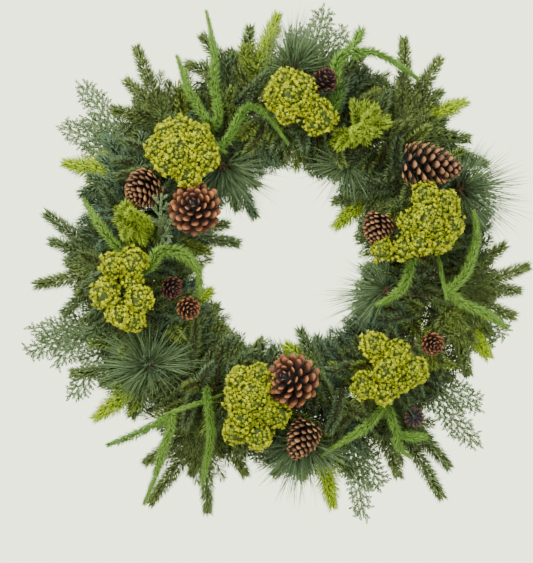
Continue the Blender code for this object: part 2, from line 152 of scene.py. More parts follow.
class Nodes:
    """Adds nodes to one shader or geometry tree."""

    def __init__(self, tree: bpy.types.NodeTree) -> None:
        """Starts on tree."""
        self.tree = tree

    def add(
        self,
        kind: str,
        settings: Optional[dict[str, Any]] = None,
        values: Optional[dict[Union[int, str], Any]] = None,
        output: Union[int, str] = 0,
    ) -> Wire:
        """Adds one node.

        Args:
            kind: the node's type.
            settings: its properties, set first.
            values: its sockets' values, or the wires that feed them.
            output: the output to return.
        Returns:
            That output as a wire; its node is wire.socket.node.
        """
        node = self.tree.nodes.new(kind)
        for name, setting in (settings or {}).items():
            setattr(node, name, setting)
        for key, value in (values or {}).items():
            if isinstance(value, Wire):
                self.tree.links.new(value.socket, node.inputs[key])
            else:
                node.inputs[key].default_value = value
        return Wire(self, node.outputs[output]) if node.outputs else Wire(self, None)

    def other(self, wire: Wire, output: Union[int, str]) -> Wire:
        """Another output of the node that a wire comes from."""
        return Wire(self, wire.socket.node.outputs[output])

    def mixed(self, factor: Union[float, Wire], first: Any, second: Any) -> Wire:
        """A colour between first and second; a plain colour is given as three numbers."""
        first, second = (
            (*colour, 1.0) if isinstance(colour, tuple) else colour for colour in (first, second)
        )
        return self.add("ShaderNodeMix", {"data_type": "RGBA"}, {0: factor, 6: first, 7: second}, 2)

    def attribute(self, name: str) -> Wire:
        """A named attribute of the piece, as a number."""
        return self.add("ShaderNodeAttribute", {"attribute_name": name}, {}, "Fac")

    def vector(self, operation: str, *inputs: Any) -> Wire:
        """A Vector Math node's vector."""
        return self.add("ShaderNodeVectorMath", {"operation": operation}, dict(enumerate(inputs)))

    def scaled(self, vector: Wire, factor: Union[float, Wire]) -> Wire:
        """A vector times a number."""
        return self.add("ShaderNodeVectorMath", {"operation": "SCALE"}, {0: vector, "Scale": factor})

    def noise(self, scale: float, detail: float = 2.0) -> Wire:
        """Noise on Object coordinates, 0 to 1, with scale in cycles to the metre."""
        place = self.add("ShaderNodeTexCoord", {}, {}, "Object")
        return self.add("ShaderNodeTexNoise", {}, {"Vector": place, "Scale": scale, "Detail": detail})

    def random(self, low: float, high: float, seed: Any) -> Wire:
        """A random number for each element, in a geometry tree."""
        values = {2: low, 3: high, 8: seed}
        return self.add("FunctionNodeRandomValue", {"data_type": "FLOAT"}, values, 1)


def new_material(name: str) -> tuple[bpy.types.Material, Nodes, bpy.types.Node]:
    """A material with a bare Principled shader.

    Returns:
        The material, its node builder and the shader node.
    """
    material = bpy.data.materials.new(name)
    material.use_nodes = True
    return material, Nodes(material.node_tree), material.node_tree.nodes["Principled BSDF"]


# --------------------------------------------------------------------------- finishes


@dataclass(frozen=True)
class FoliageFinish:
    """Leaves or needles, coloured by the attributes that their planting gives them, with painted shade that
    darkens each leaf towards its root and the leaves of twigs marked dark.
    """

    name: str
    deep: Colour
    light: Colour
    cool: Colour
    young: Colour
    roughness: float = 0.5
    # brightness of a leaf at its root, below 1 for painted shade
    painted_shade_at_root: float = 0.6

    def material(self) -> bpy.types.Material:
        """The finish as a material."""
        material, nodes, shader = new_material(self.name)
        tint, along = nodes.attribute("tint"), nodes.attribute("along")
        patch = nodes.noise(18.0)
        mellow = (tint * 0.6 + patch * 0.7 + along * 0.25 - 0.3).clamped()
        green = nodes.mixed(mellow, self.deep, self.light)
        green = nodes.mixed((nodes.attribute("cool") * (0.55 + tint * 0.6)).clamped(), green, self.cool)
        green = nodes.mixed((nodes.attribute("fresh") * (0.75 + along * 0.35)).clamped(), green, self.young)
        # painted shade: each leaf is darker towards its root
        shade = (self.painted_shade_at_root + (1.0 - self.painted_shade_at_root) * (along * 1.6)).clamped()
        # painted shade: the leaves of twigs marked dark, which lie deep in the wreath, are darker
        value = shade * (0.78 + tint * 0.48) * (1.0 - nodes.attribute("dark") * 0.5)
        colour = nodes.add("ShaderNodeHueSaturation", {}, {"Value": value, "Color": green})
        nodes.tree.links.new(colour.socket, shader.inputs["Base Color"])
        rough = (self.roughness + (tint - 0.5) * 0.16).clamped()
        nodes.tree.links.new(rough.socket, shader.inputs["Roughness"])
        shader.inputs["Specular IOR Level"].default_value = 0.38
        return material


@dataclass(frozen=True)
class BarkFinish:
    """Thin twigs, woody or green."""

    name: str
    dark: Colour
    pale: Colour

    def material(self) -> bpy.types.Material:
        """The finish as a material."""
        material, nodes, shader = new_material(self.name)
        grain = nodes.noise(420.0, 4.0)
        colour = nodes.mixed(grain, self.dark, self.pale)
        nodes.tree.links.new(colour.socket, shader.inputs["Base Color"])
        bump = nodes.add("ShaderNodeBump", {}, {"Strength": 0.4, "Distance": 0.0004, "Height": grain})
        nodes.tree.links.new(bump.socket, shader.inputs["Normal"])
        shader.inputs["Roughness"].default_value = 0.75
        return material


@dataclass(frozen=True)
class ConeFinish:
    """Dry woody scales, in painted shade towards their roots and paler at their tips."""

    name: str
    # colour at the scales' roots: painted shade between the scales
    painted_root_shade: Colour
    body: Colour
    tip: Colour

    def material(self) -> bpy.types.Material:
        """The finish as a material."""
        material, nodes, shader = new_material(self.name)
        tint, along = nodes.attribute("tint"), nodes.attribute("along")
        grain = nodes.noise(650.0, 5.0)
        # painted shade: the lower half of each scale darkens towards the root colour
        outer = ((along - 0.5) * 2.6).clamped()
        colour = nodes.mixed(outer, self.painted_root_shade, self.body)
        rim = ((along - 0.8 + (grain - 0.5) * 0.3) * 5.0).clamped() * (0.45 + tint * 0.55)
        colour = nodes.mixed(rim, colour, self.tip)
        colour = nodes.add("ShaderNodeHueSaturation", {}, {"Value": 0.7 + tint * 0.6, "Color": colour})
        nodes.tree.links.new(colour.socket, shader.inputs["Base Color"])
        rough = (0.48 + grain * 0.3).clamped()
        nodes.tree.links.new(rough.socket, shader.inputs["Roughness"])
        bump = nodes.add("ShaderNodeBump", {}, {"Strength": 0.5, "Distance": 0.0005, "Height": grain})
        nodes.tree.links.new(bump.socket, shader.inputs["Normal"])
        return material


@dataclass(frozen=True)
class WireFinish:
    """Enamelled steel wire with a little wear."""

    name: str
    enamel: Colour
    worn: Colour

    def material(self) -> bpy.types.Material:
        """The finish as a material."""
        material, nodes, shader = new_material(self.name)
        wear = ((nodes.noise(160.0, 4.0) - 0.6) * 9.0).clamped()
        colour = nodes.mixed(wear, self.enamel, self.worn)
        nodes.tree.links.new(colour.socket, shader.inputs["Base Color"])
        rough = 0.36 + wear * 0.25
        nodes.tree.links.new(rough.socket, shader.inputs["Roughness"])
        shader.inputs["Metallic"].default_value = 0.6
        return material


FIR_FINISH = FoliageFinish(
    "fir_needles", linear(62, 84, 30), linear(134, 151, 66), linear(100, 130, 104), linear(180, 208, 30)
)
PINE_FINISH = FoliageFinish(
    "pine_needles", linear(60, 86, 46), linear(134, 156, 92), linear(106, 136, 106), linear(130, 160, 70),
    roughness=0.42,
)
CEDAR_FINISH = FoliageFinish(
    "cedar_scales", linear(78, 100, 60), linear(150, 168, 116), linear(126, 158, 128), linear(150, 170, 90),
    roughness=0.6,
)
FOXTAIL_FINISH = FoliageFinish(
    "foxtail_leaves", linear(64, 118, 26), linear(130, 176, 66), linear(84, 138, 70), linear(172, 204, 88),
    roughness=0.6,
)
FLOWER_FINISH = FoliageFinish(
    "flower_petals", linear(136, 154, 0), linear(204, 208, 8), linear(176, 184, 20), linear(226, 226, 60),
    roughness=0.7, painted_shade_at_root=0.3,
)
TWIG_FINISH = BarkFinish("woody_twig", linear(58, 40, 24), linear(112, 84, 52))
GREEN_TWIG_FINISH = BarkFinish("green_twig", linear(70, 104, 30), linear(128, 160, 66))
FLOWER_CORE_FINISH = BarkFinish("flower_rays", linear(34, 50, 8), linear(74, 94, 16))
CONE_FINISH = ConeFinish("cone_scales", linear(14, 6, 3), linear(74, 42, 22), linear(170, 122, 76))
RED_CONE_FINISH = ConeFinish("cone_scales_red", linear(16, 6, 3), linear(84, 43, 20), linear(172, 110, 60))
DARK_CONE_FINISH = ConeFinish("cone_scales_dark", linear(12, 4, 3), linear(56, 24, 15), linear(112, 62, 40))
WIRE_FINISH = WireFinish("ring_enamel", linear(38, 62, 36), linear(122, 116, 100))
BINDING_FINISH = WireFinish("binding_enamel", linear(46, 78, 40), linear(134, 128, 108))


# --------------------------------------------------------------------------- reading the frame


@dataclass
class Walk:
    """A centre line read from a CAD solid, from its tip back towards its root."""

    places: list[Vector]
    radii: list[float]

    @property
    def tip(self) -> Vector:
        """The pointed end."""
        return self.places[0]

    @property
    def heading(self) -> Vector:
        """The way that the tip points."""
        return (self.places[0] - self.places[1]).normalized()


class CadShape:
    """Reads centre lines out of the mesh of one CAD node."""

    def __init__(self, node: str) -> None:
        """Welds a copy of the node's mesh."""
        self.shape = bmesh.new()
        self.shape.from_mesh(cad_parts[node].data)
        bmesh.ops.remove_doubles(self.shape, verts=self.shape.verts, dist=WELD)
        self.shape.verts.ensure_lookup_table()

    def free(self) -> None:
        """Frees the copy."""
        self.shape.free()

    def walks(self, sides: int) -> list[Walk]:
        """Every tapered limb whose section has this many corners, read ring by ring from its tip."""
        found = []
        for vert in self.shape.verts:
            around = [edge.other_vert(vert) for edge in vert.link_edges]
            if len(around) != sides:
                continue
            reach = [(other.co - vert.co).length for other in around]
            if max(reach) - min(reach) > 0.02 * max(reach):
                continue
            if not self._is_ring(around):
                continue
            found.append(self._walk_from(vert, around, sides))
        return [walk for walk in found if len(walk.places) > 2]

    @staticmethod
    def _is_ring(around: Sequence[bmesh.types.BMVert]) -> bool:
        """Whether these vertices follow one another round a closed ring."""
        members = set(around)
        return all(
            sum(edge.other_vert(vert) in members for edge in vert.link_edges) == 2 for vert in around
        )

    @staticmethod
    def _walk_from(apex: bmesh.types.BMVert, ring: Sequence[bmesh.types.BMVert], sides: int) -> Walk:
        """Steps from ring to ring until the limb meets another."""
        places, radii = [apex.co.copy()], [0.0]
        seen, current = {apex, *ring}, list(ring)
        while len(current) == sides:
            middle = sum((vert.co for vert in current), Vector()) / sides
            places.append(middle)
            radii.append(sum((vert.co - middle).length for vert in current) / sides)
            after = []
            for vert in current:
                for edge in vert.link_edges:
                    other = edge.other_vert(vert)
                    if other not in seen:
                        seen.add(other)
                        after.append(other)
            current = after
        return Walk(places, radii)

    def rooted(self, walk: Walk, known: Sequence[Sequence[Vector]]) -> list[Vector]:
        """Carries a walk on past where its limb joins others, down to its root.

        Args:
            walk: the walk from the tip to the first join.
            known: centre lines already followed, which a later limb may spring from.
        Returns:
            The whole line, tip first.
        """
        line = list(walk.places)
        for _ in range(9):
            here, back = line[-1], (line[-1] - line[-2]).normalized()
            if any((here - place).length < 6 * MM for other in known for place in other):
                break
            near = []
            for vert in self.shape.verts:
                offset = vert.co - here
                ahead = offset.dot(back)
                if 2 * MM < ahead < 26 * MM and (offset - back * ahead).length < 4.5 * MM + ahead * 0.5:
                    near.append((ahead, vert.co))
            if not near:
                break
            first = min(ahead for ahead, _ in near)
            group = [place for ahead, place in near if ahead < first + 5 * MM]
            line.append(sum(group, Vector()) / len(group))
        return line

    def stem_end(self, towards: Vector) -> tuple[Vector, Vector]:
        """The bare end of the stem that lies along the ring, farthest point from towards first."""
        deepest = max(vert.co.y for vert in self.shape.verts)
        lowest = [vert.co.copy() for vert in self.shape.verts if vert.co.y > deepest - 0.2 * MM]
        lowest.sort(key=lambda place: -(place - towards).length)
        half = max(1, len(lowest) // 2)
        far = sum(lowest[:half], Vector()) / half
        near = sum(lowest[-half:], Vector()) / half
        return far, near


def meeting_point(walks: Sequence[Walk]) -> Vector:
    """The point nearest to the lines of all the walks, where the sprigs part."""
    if len(walks) == 1:
        return walks[0].places[-1].copy()
    matrix, goal = np.zeros((3, 3)), np.zeros(3)
    for walk in walks:
        way = np.array(walk.heading)
        across = np.eye(3) - np.outer(way, way)
        matrix += across
        goal += across @ np.array(walk.tip)
    return Vector(np.linalg.lstsq(matrix, goal, rcond=None)[0])


def clock_angle(place: Vector) -> float:
    """A place's angle round the ring, in radians clockwise from the top."""
    return math.atan2(place.x - RING_CENTRE.x, place.z - RING_CENTRE.z)


def ring_place(angle: float, radius: float, depth: float) -> Vector:
    """The place at a clock angle in radians, a radius and a depth in front of the ring, in metres."""
    offset = Vector((math.sin(angle) * radius, -depth, math.cos(angle) * radius))
    return RING_CENTRE + offset


_LOW, _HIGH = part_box("ring_frame")
RING_CENTRE = (_LOW + _HIGH) / 2
RING_OUTER = (_HIGH.x - _LOW.x) / 2


# --------------------------------------------------------------------------- twigs


@dataclass
class Twig:
    """One shoot: its line, its thickness and how it is leafed."""

    points: list[Vector]
    girth: float
    leaf: tuple[float, float, float] = (0.8, 1.0, 0.7)
    bare: float = 0.0
    fresh: float = 0.0
    cool: float = 0.0
    # how much the twig's leaves are darkened as painted shade, and thinned
    dark: float = 0.0

    def leaf_at(self, reach: float) -> float:
        """The leaf size at a share of the length: root, middle and tip sizes, zero where bare."""
        if reach < self.bare:
            return 0.0
        root, middle, tip = self.leaf
        if reach < 0.5:
            return root + (middle - root) * reach * 2
        return middle + (tip - middle) * (reach - 0.5) * 2


def arc(start: Vector, end: Vector, bow: Vector, steps: int) -> list[Vector]:
    """Points from start to end, bowed aside by bow at the middle."""
    places = []
    for step in range(steps + 1):
        t = step / steps
        places.append(start.lerp(end, t) + bow * (4 * t * (1 - t)))
    return places


def along_line(points: Sequence[Vector], share: float) -> tuple[Vector, Vector]:
    """The place and the heading at a share of the way along points."""
    place = share * (len(points) - 1)
    low = min(int(place), len(points) - 2)
    here = points[low].lerp(points[low + 1], place - low)
    return here, (points[low + 1] - points[low]).normalized()


def smooth_line(points: Sequence[Vector], steps: int) -> list[Vector]:
    """Points on a Catmull-Rom curve through points."""
    held = [points[0] * 2 - points[1], *points, points[-1] * 2 - points[-2]]
    curve = []
    for a, b, c, d in zip(held, held[1:], held[2:], held[3:]):
        for step in range(steps):
            t = step / steps
            curve.append(
                0.5 * (2 * b + (c - a) * t + (2 * a - 5 * b + 4 * c - d) * t * t
                       + (3 * b - a - 3 * c + d) * t ** 3)
            )
    return curve + [points[-1].copy()]


def twig_mesh(name: str, twigs: Sequence[Twig]) -> bpy.types.Mesh:
    """The twigs' lines as a mesh of edges with their growth, and the darkness of their painted shade, as
    attributes.
    """
    points, edges = [], []
    values: dict[str, list[float]] = {
        key: [] for key in ("girth", "leaf", "reach", "fresh", "cool", "dark")
    }
    for twig in twigs:
        first = len(points)
        last = len(twig.points) - 1
        for number, point in enumerate(twig.points):
            reach = number / last
            points.append(point)
            values["girth"].append(twig.girth * (1.0 - 0.65 * reach))
            values["leaf"].append(twig.leaf_at(reach))
            values["reach"].append(reach)
            values["fresh"].append(twig.fresh)
            values["cool"].append(twig.cool)
            values["dark"].append(twig.dark)
        edges.extend((first + k, first + k + 1) for k in range(last))
    mesh = bpy.data.meshes.new(name)
    mesh.from_pydata([tuple(point) for point in points], edges, [])
    for key, numbers in values.items():
        mesh.attributes.new(key, "FLOAT", "POINT").data.foreach_set("value", numbers)
    return mesh


# --------------------------------------------------------------------------- planted shapes


def template(
    name: str,
    verts: Sequence[tuple],
    faces: Sequence[tuple],
    along: Sequence[float],
    flat: Sequence[tuple[float, float]],
) -> bpy.types.Object:
    """A small closed shape to plant, out of the render.

    Args:
        name: its object's name.
        verts: its corners.
        faces: the corners of each face.
        along: how far each corner is from the root, 0 to 1.
        flat: each corner's place in the square cell that a planted copy gets in its piece's map.
    Returns:
        The template object.
    """
    mesh = bpy.data.meshes.new(name)
    mesh.from_pydata(verts, [], faces)
    columns = {"along": along, "cell_u": [place[0] for place in flat], "cell_v": [place[1] for place in flat]}
    for key, numbers in columns.items():
        mesh.attributes.new(key, "FLOAT", "POINT").data.foreach_set("value", numbers)
    shape = bmesh.new()
    shape.from_mesh(mesh)
    bmesh.ops.recalc_face_normals(shape, faces=shape.faces)
    shape.to_mesh(mesh)
    shape.free()
    mesh.shade_smooth()
    made = bpy.data.objects.new(name, mesh)
    bpy.context.scene.collection.objects.link(made)
    made.hide_render = True
    return made


def spindle(name: str, stations: Sequence[tuple[float, float, float, float]], sides: int) -> bpy.types.Object:
    """A closed spindle along Z.

    Args:
        name: its object's name.
        stations: (height, half width, half thickness, bow) of each ring between the two points.
        sides: corners of each ring.
    Returns:
        The template object, of unit length.
    """
    verts, flat = [(0.0, 0.0, 0.0)], [(0.5, 0.0)]
    for height, half_width, half_thick, bow in stations:
        for side in range(sides):
            angle = math.tau * side / sides
            verts.append((math.cos(angle) * half_width, math.sin(angle) * half_thick + bow, height))
            flat.append((side / (sides - 1), height))
    verts.append((0.0, 0.0, 1.0))
    flat.append((0.5, 1.0))
    faces = []
    for side in range(sides):
        after = (side + 1) % sides
        faces.append((0, 1 + after, 1 + side))
        for row in range(len(stations) - 1):
            low, high = 1 + row * sides, 1 + (row + 1) * sides
            faces.append((low + side, low + after, high + after, high + side))
        top = 1 + (len(stations) - 1) * sides
        faces.append((top + side, top + after, len(verts) - 1))
    return template(name, verts, faces, [place[1] for place in flat], flat)


def kite(name: str, widest: float, bow: float) -> bpy.types.Object:
    """The simplest closed leaf along Z: a folded kite of unit length and width.

    Args:
        name: its object's name.
        widest: the height at which it is widest.
        bow: how far its edges stand behind its midrib.
    Returns:
        The template object.
    """
    verts = [(0.0, 0.0, 0.0), (-0.5, bow, widest), (0.5, bow, widest), (0.0, 0.0, 1.0)]
    faces = [(0, 1, 2), (3, 2, 1), (0, 3, 1), (0, 2, 3)]
    flat = [(0.5, 0.0), (0.0, widest), (1.0, widest), (0.5, 1.0)]
    return template(name, verts, faces, [0.0, widest, widest, 1.0], flat)


def star_floret() -> bpy.types.Object:
    """A five-petalled floret that opens from the end of its stalk."""
    petals = 5
    verts = [(0.0, 0.0, 0.62), (0.0, 0.0, -1.1)]
    along, flat = [0.55, 0.0], [(0.5, 0.5), (0.52, 0.48)]
    for corner in range(petals * 2):
        angle = math.tau * corner / (petals * 2)
        outer = corner % 2 == 0
        radius, height = (1.0, 0.78) if outer else (0.32, 0.42)
        verts.append((math.cos(angle) * radius, math.sin(angle) * radius, height))
        along.append(1.0 if outer else 0.5)
        flat.append((0.5 + math.cos(angle) * radius / 2, 0.5 + math.sin(angle) * radius / 2))
    rim = [(2 + corner, 2 + (corner + 1) % (petals * 2)) for corner in range(petals * 2)]
    faces = [(1, after, here) for here, after in rim] + [(0, here, after) for here, after in rim]
    return template("floret_shape", verts, faces, along, flat)


def cone_scale() -> bpy.types.Object:
    """A woody scale along Z, thin at its root, with a thick rounded lip that turns up."""
    stations = (
        (0.0, 0.10, 0.05, 0.0), (0.35, 0.24, 0.06, -0.02), (0.66, 0.40, 0.08, 0.0),
        (0.86, 0.44, 0.13, 0.05), (0.97, 0.30, 0.12, 0.12), (1.03, 0.10, 0.06, 0.17),
    )
    corners = ((1.0, 0.0), (0.55, 1.0), (-0.55, 1.0), (-1.0, 0.0), (-0.5, -0.8), (0.5, -0.8))
    verts, along, flat, faces = [], [], [], []
    for height, half_width, half_thick, lift in stations:
        for number, (across, up) in enumerate(corners):
            verts.append((across * half_width, up * half_thick + lift, height))
            along.append(min(1.0, height))
            flat.append((number / (len(corners) - 1), along[-1]))
    count = len(corners)
    for row in range(len(stations) - 1):
        for corner in range(count):
            after = (corner + 1) % count
            low, high = row * count, (row + 1) * count
            faces.append((low + corner, low + after, high + after, high + corner))
    faces.append(tuple(range(count))[::-1])
    faces.append(tuple(range((len(stations) - 1) * count, len(stations) * count)))
    return template("scale_shape", verts, faces, along, flat)


# --------------------------------------------------------------------------- geometry trees


class GeometryTree:
    """A Geometry Nodes tree with named inputs, and how it is applied to a piece."""

    def __init__(self, name: str, inputs: Sequence[tuple[str, str]]) -> None:
        """Makes the tree.

        Args:
            name: the tree's name.
            inputs: the (name, socket type) of each input after the geometry.
        """
        self.tree = bpy.data.node_groups.new(name, "GeometryNodeTree")
        self.tree.is_modifier = True
        face = self.tree.interface
        face.new_socket(name="Geometry", in_out="OUTPUT", socket_type="NodeSocketGeometry")
        face.new_socket(name="Geometry", in_out="INPUT", socket_type="NodeSocketGeometry")
        self.keys = {}
        for label, kind in inputs:
            self.keys[label] = face.new_socket(name=label, in_out="INPUT", socket_type=kind).identifier
        self.nodes = Nodes(self.tree)
        self.source = self.tree.nodes.new("NodeGroupInput")
        self.result = self.tree.nodes.new("NodeGroupOutput")

    def given(self, label: str) -> Wire:
        """An input of the tree."""
        return Wire(self.nodes, self.source.outputs[label])

    def named(self, attribute: str) -> Wire:
        """A named attribute of the geometry."""
        return self.nodes.add("GeometryNodeInputNamedAttribute", {"data_type": "FLOAT"}, {"Name": attribute})

    def tinted(self, geometry: Wire, seed: Wire) -> Wire:
        """Gives each instance a random tint and the number, from 1, of its cell in the piece's map."""
        settings = {"data_type": "FLOAT", "domain": "INSTANCE"}
        given = {
            "tint": self.nodes.random(0.0, 1.0, seed),
            "cell": self.nodes.add("GeometryNodeInputIndex") + 1.0,
        }
        for name, value in given.items():
            values = {"Geometry": geometry, "Name": name, "Value": value}
            geometry = self.nodes.add("GeometryNodeStoreNamedAttribute", settings, values)
        return geometry

    def finish(self, geometries: Sequence[Wire]) -> None:
        """Joins the geometries into the tree's result."""
        joined = self.tree.nodes.new("GeometryNodeJoinGeometry")
        for wire in reversed(geometries):
            self.tree.links.new(wire.socket, joined.inputs[0])
        self.tree.links.new(joined.outputs[0], self.result.inputs[0])

    def applied(self, name: str, mesh: bpy.types.Mesh, settings: dict[str, Any]) -> bpy.types.Object:
        """Runs the tree on a mesh.

        Args:
            name: the finished piece's name.
            mesh: the mesh that the tree starts from; it is removed.
            settings: the value of each named input.
        Returns:
            An object that holds the plain result.
        """
        host = bpy.data.objects.new(name + "_seedling", mesh)
        bpy.context.scene.collection.objects.link(host)
        modifier = host.modifiers.new("grow", "NODES")
        modifier.node_group = self.tree
        for label, value in settings.items():
            modifier[self.keys[label]] = value
        grown = host.evaluated_get(bpy.context.evaluated_depsgraph_get())
        result = bpy.data.meshes.new_from_object(grown)
        host.modifiers.clear()
        bpy.data.objects.remove(host)
        bpy.data.meshes.remove(mesh)
        result.name = name
        made = bpy.data.objects.new(name, result)
        bpy.context.scene.collection.objects.link(made)
        return made


class LeafyTwigs(GeometryTree):
    """Leaves planted round lines, and the twigs themselves."""

    def __init__(self) -> None:
        """Builds the tree."""
        super().__init__(
            "leafy_twigs",
            [
                ("Leaf", "NodeSocketObject"),
                ("Leaf Length", "NodeSocketFloat"),
                ("Leaf Width", "NodeSocketFloat"),
                ("Spacing", "NodeSocketFloat"),
                ("Lean", "NodeSocketFloat"),
                ("Lean At Tip", "NodeSocketFloat"),
                ("Flatten", "NodeSocketFloat"),
                ("Unruly", "NodeSocketFloat"),
                ("Twig Sides", "NodeSocketInt"),
                ("Seed", "NodeSocketInt"),
                ("Leaf Material", "NodeSocketMaterial"),
                ("Twig Material", "NodeSocketMaterial"),
            ],
        )
        nodes = self.nodes
        curve = nodes.add("GeometryNodeMeshToCurve", {}, {"Mesh": self.given("Geometry")})
        self.finish([self._leaves(curve), self._twigs(curve)])

    def _leaves(self, curve: Wire) -> Wire:
        """Plants the leaves round the curve in a golden-angle spiral."""
        nodes, seed, unruly = self.nodes, self.given("Seed"), self.given("Unruly")
        values = {"Curve": curve, "Length": self.given("Spacing")}
        points = nodes.add("GeometryNodeCurveToPoints", {"mode": "LENGTH"}, values)
        tangent, normal = nodes.other(points, "Tangent"), nodes.other(points, "Normal")
        binormal = nodes.vector("CROSS_PRODUCT", tangent, normal)
        index = nodes.add("GeometryNodeInputIndex")
        turn = index * GOLDEN_ANGLE + nodes.random(-0.35, 0.35, seed)
        radial = nodes.vector(
            "ADD",
            nodes.scaled(normal, turn.maths("COSINE")),
            nodes.scaled(binormal, turn.maths("SINE")),
        )
        squash = nodes.add("ShaderNodeCombineXYZ", {}, {0: 1.0, 1: 1.0 - self.given("Flatten"), 2: 1.0})
        radial = nodes.vector("NORMALIZE", nodes.vector("MULTIPLY", radial, squash))
        reach = self.named("reach")
        lean = self.given("Lean") + (self.given("Lean At Tip") - self.given("Lean")) * (reach ** 5.0)
        lean = lean * nodes.random(1.0 - unruly, 1.0 + unruly, seed + 1.0)
        way = nodes.vector(
            "ADD",
            nodes.scaled(tangent, lean.maths("COSINE")),
            nodes.scaled(radial, lean.maths("SINE")),
        )
        axes = {"primary_axis": "Z", "secondary_axis": "Y"}
        facing = nodes.add("FunctionNodeAxesToRotation", axes, {0: way, 1: tangent})
        size = self.named("leaf")
        length = nodes.random(1.0 - unruly * 1.25, 1.0 + unruly * 0.5, seed + 2.0)
        length = self.given("Leaf Length") * size * length
        width = self.given("Leaf Width") * size ** 0.5 * nodes.random(0.85, 1.15, seed + 3.0)
        scale = nodes.add("ShaderNodeCombineXYZ", {}, {0: width, 1: width, 2: length})
        shape = nodes.add("GeometryNodeObjectInfo", {}, {"Object": self.given("Leaf")}, "Geometry")
        kept = (size > 0.05) * (nodes.random(0.0, 1.0, seed + 5.0) > self.named("dark") * SHADED_LEAF_LOSS)
        values = {"Points": points, "Selection": kept, "Instance": shape, "Rotation": facing, "Scale": scale}
        leaves = nodes.add("GeometryNodeInstanceOnPoints", {}, values)
        leaves = self.tinted(leaves, seed + 4.0)
        leaves = nodes.add("GeometryNodeRealizeInstances", {}, {"Geometry": leaves})
        values = {"Geometry": leaves, "Material": self.given("Leaf Material")}
        return nodes.add("GeometryNodeSetMaterial", {}, values)

    def _twigs(self, curve: Wire) -> Wire:
        """The twigs as closed tubes of their own girth."""
        nodes = self.nodes
        values = {"Resolution": self.given("Twig Sides"), "Radius": 1.0}
        profile = nodes.add("GeometryNodeCurvePrimitiveCircle", {}, values)
        values = {"Curve": curve, "Profile Curve": profile, "Scale": self.named("girth"), "Fill Caps": True}
        tube = nodes.add("GeometryNodeCurveToMesh", {}, values)
        values = {"Geometry": tube, "Material": self.given("Twig Material")}
        return nodes.add("GeometryNodeSetMaterial", {}, values)


class FloretCover(GeometryTree):
    """Florets scattered over the lobes of a flower head."""

    def __init__(self) -> None:
        """Builds the tree."""
        super().__init__(
            "floret_cover",
            [
                ("Floret", "NodeSocketObject"),
                ("Floret Size", "NodeSocketFloat"),
                ("Gap", "NodeSocketFloat"),
                ("Behind", "NodeSocketFloat"),
                ("Seed", "NodeSocketInt"),
                ("Petal Material", "NodeSocketMaterial"),
                ("Stalk Material", "NodeSocketMaterial"),
            ],
        )
        nodes, seed = self.nodes, self.given("Seed")
        place = nodes.add("GeometryNodeInputPosition")
        depth = nodes.add("ShaderNodeSeparateXYZ", {}, {0: place}, "Y")
        clumps = nodes.add("ShaderNodeTexNoise", {}, {"Vector": place, "Scale": 260.0, "Detail": 1.0})
        front = (self.given("Behind") - depth > 0.0) * (clumps > 0.36)
        gap = self.given("Gap")
        values = {
            "Mesh": self.given("Geometry"), "Selection": front, "Distance Min": gap,
            "Density Max": 2.2 / (gap * gap), "Seed": seed,
        }
        points = nodes.add("GeometryNodeDistributePointsOnFaces", {"distribute_method": "POISSON"}, values)
        normal = nodes.other(points, "Normal")
        jitter = nodes.add(
            "FunctionNodeRandomValue",
            {"data_type": "FLOAT_VECTOR"},
            {0: (-0.42, -0.42, -0.42), 1: (0.42, 0.42, 0.42), 8: seed + 1.0},
        )
        way = nodes.vector("NORMALIZE", nodes.vector("ADD", normal, jitter))
        facing = nodes.add("FunctionNodeAlignRotationToVector", {"axis": "Z"}, {"Vector": way})
        spin = nodes.add("ShaderNodeCombineXYZ", {}, {2: nodes.random(0.0, math.tau, seed + 2.0)})
        facing = nodes.add(
            "FunctionNodeRotateRotation",
            {"rotation_space": "LOCAL"},
            {"Rotation": facing, "Rotate By": nodes.add("FunctionNodeEulerToRotation", {}, {0: spin})},
        )
        lift = nodes.scaled(normal, nodes.random(-0.6, 2.0, seed + 5.0) * self.given("Floret Size"))
        points = nodes.add("GeometryNodeSetPosition", {}, {"Geometry": points, "Offset": lift})
        size = self.given("Floret Size") * nodes.random(0.65, 1.25, seed + 3.0)
        shape = nodes.add("GeometryNodeObjectInfo", {}, {"Object": self.given("Floret")}, "Geometry")
        values = {"Points": points, "Instance": shape, "Rotation": facing, "Scale": size}
        florets = self.tinted(nodes.add("GeometryNodeInstanceOnPoints", {}, values), seed + 4.0)
        florets = nodes.add("GeometryNodeRealizeInstances", {}, {"Geometry": florets})
        values = {"Geometry": florets, "Material": self.given("Petal Material")}
        florets = nodes.add("GeometryNodeSetMaterial", {}, values)
        values = {"Geometry": self.given("Geometry"), "Material": self.given("Stalk Material")}
        self.finish([florets, nodes.add("GeometryNodeSetMaterial", {}, values)])


